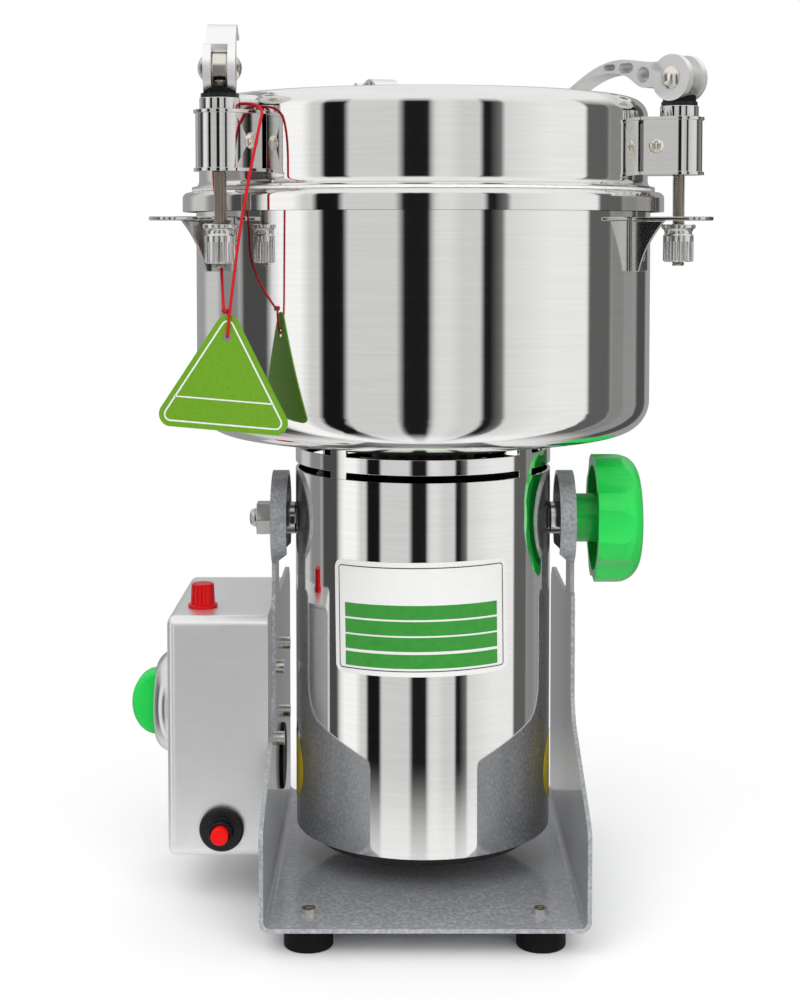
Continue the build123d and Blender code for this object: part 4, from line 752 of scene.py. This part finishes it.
def strip_light(tree, azimuth, base, strips):
    """Levels of light round the horizon: a base, and strips over it."""
    level = None
    for centre, half, strength, edge in strips:
        side = calculate(tree, "ABSOLUTE", calculate(tree, "SUBTRACT", azimuth, centre))
        mask = tree.nodes.new("ShaderNodeMapRange")
        mask.inputs["From Min"].default_value = half - edge
        mask.inputs["From Max"].default_value = half + edge
        mask.inputs["To Min"].default_value = 1
        mask.inputs["To Max"].default_value = 0
        tree.links.new(side, mask.inputs["Value"])
        mixed = tree.nodes.new("ShaderNodeMix")
        mixed.inputs["A"].default_value = base
        mixed.inputs["B"].default_value = strength
        tree.links.new(mask.outputs["Result"], mixed.inputs["Factor"])
        if level:
            tree.links.new(level, mixed.inputs["A"])
        level = mixed.outputs["Result"]
    return level


# Softboxes and dark flags round the machine: azimuth from the camera's side and half width in
# degrees, level of light, and softness of the edge in degrees
studio_strips = (
    (-150, 40, 0.42, 4), (150, 36, 0.42, 4), (-132, 10, 0.74, 4), (-112, 9, 0.33, 3), (-92, 10, 0.09, 2),
    (-69, 9, 1.3, 3), (-45, 6.5, 0.01, 1.5), (-4, 7.5, 0.015, 2), (10, 5, 1.0, 3), (33.5, 5.5, 0.015, 1.2),
    (74, 26, 1.14, 16), (97, 9, 0.15, 1.2), (112, 7, 0.32, 2), (124, 6, 0.38, 2), (141, 8, 0.1, 2),
)
wall_level, overhead_level, overhead_from, overhead_to = 0.86, 1.15, 0.25, 0.6


def make_world():
    """Studio light for the machine, and plain white where the camera looks past it."""
    world = bpy.data.worlds.new("studio")
    world.use_nodes = True
    scene.world = world
    tree = world.node_tree
    tree.nodes.clear()
    place = tree.nodes.new("ShaderNodeTexCoord")
    split = tree.nodes.new("ShaderNodeSeparateXYZ")
    tree.links.new(place.outputs["Generated"], split.inputs[0])
    front = calculate(tree, "MULTIPLY", split.outputs["Y"], -1)
    azimuth = calculate(tree, "DEGREES", calculate(tree, "ARCTAN2", split.outputs["X"], front))
    level = strip_light(tree, azimuth, wall_level, studio_strips)
    above = tree.nodes.new("ShaderNodeMapRange")
    above.inputs["From Min"].default_value = overhead_from
    above.inputs["From Max"].default_value = overhead_to
    tree.links.new(split.outputs["Z"], above.inputs["Value"])
    overhead = tree.nodes.new("ShaderNodeMix")
    overhead.inputs["B"].default_value = overhead_level
    tree.links.new(above.outputs["Result"], overhead.inputs["Factor"])
    tree.links.new(level, overhead.inputs["A"])
    studio = tree.nodes.new("ShaderNodeBackground")
    tree.links.new(overhead.outputs["Result"], studio.inputs["Strength"])
    seen = tree.nodes.new("ShaderNodeBackground")
    seen.inputs["Color"].default_value = (1, 1, 1, 1)
    rays = tree.nodes.new("ShaderNodeLightPath")
    both = tree.nodes.new("ShaderNodeMixShader")
    tree.links.new(rays.outputs["Is Camera Ray"], both.inputs[0])
    tree.links.new(studio.outputs[0], both.inputs[1])
    tree.links.new(seen.outputs[0], both.inputs[2])
    out = tree.nodes.new("ShaderNodeOutputWorld")
    tree.links.new(both.outputs[0], out.inputs["Surface"])


def make_floor(radius=1.4, solid=0.08, gone=0.36):
    """A pale floor that fades into the white background away from the machine."""
    made = new_material("floor", (0.88, 0.88, 0.88), roughness=0.7, gloss=0.2)
    tree = made.node_tree
    place = tree.nodes.new("ShaderNodeTexCoord")
    length = tree.nodes.new("ShaderNodeVectorMath")
    length.operation = "LENGTH"
    tree.links.new(place.outputs["Object"], length.inputs[0])
    fade = tree.nodes.new("ShaderNodeMapRange")
    fade.interpolation_type = "SMOOTHSTEP"
    fade.inputs["From Min"].default_value = solid
    fade.inputs["From Max"].default_value = gone
    tree.links.new(length.outputs["Value"], fade.inputs["Value"])
    clear = tree.nodes.new("ShaderNodeBsdfTransparent")
    both = tree.nodes.new("ShaderNodeMixShader")
    tree.links.new(fade.outputs["Result"], both.inputs[0])
    tree.links.new(tree.nodes["Principled BSDF"].outputs[0], both.inputs[1])
    tree.links.new(clear.outputs[0], both.inputs[2])
    tree.links.new(both.outputs[0], tree.nodes["Material Output"].inputs["Surface"])
    bpy.ops.mesh.primitive_circle_add(vertices=96, radius=radius, fill_type="NGON")
    floor = bpy.context.object
    floor.name = "floor"
    floor.data.materials.append(made)
    floor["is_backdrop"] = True


def add_lamp(name, place, target, size, power):
    lamp = bpy.data.lights.new(name, "AREA")
    lamp.shape = "DISK"
    lamp.size = size
    lamp.energy = power
    lit = bpy.data.objects.new(name, lamp)
    scene.collection.objects.link(lit)
    lit.location = place
    lit.rotation_euler = (Vector(target) - Vector(place)).to_track_quat("-Z", "Y").to_euler()
    lit.visible_glossy = False
    lit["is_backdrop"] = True


sensor_w, picture_h, focal_px, centre_y = 36, 1000, 1773.8, 325.0
camera_place, camera_pitch = (-12.5 * mm, -966.4 * mm, 358.7 * mm), 0.052


def make_camera():
    """A long lens a little below the lid's top, pitched down and shifted to the photograph's framing."""
    seen = bpy.data.cameras.new("camera")
    seen.sensor_width = sensor_w
    seen.lens = focal_px * sensor_w / picture_h
    seen.shift_y = (centre_y - picture_h / 2) / picture_h
    eye = bpy.data.objects.new("camera", seen)
    scene.collection.objects.link(eye)
    eye.location = camera_place
    eye.rotation_euler = (math.pi / 2 - camera_pitch, 0, 0)
    scene.camera = eye


make_world()
make_floor()
lamp_target = (0, 0, 0.2)
add_lamp("key", (-0.5, -1.3, 1.5), lamp_target, 1.2, 13)
add_lamp("fill", (0.5, -1.4, 0.9), lamp_target, 1.0, 11)
add_lamp("back", (0.2, 1.3, 1.4), lamp_target, 1.2, 5)
make_camera()
scene.view_settings.view_transform = "Standard"

low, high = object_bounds()
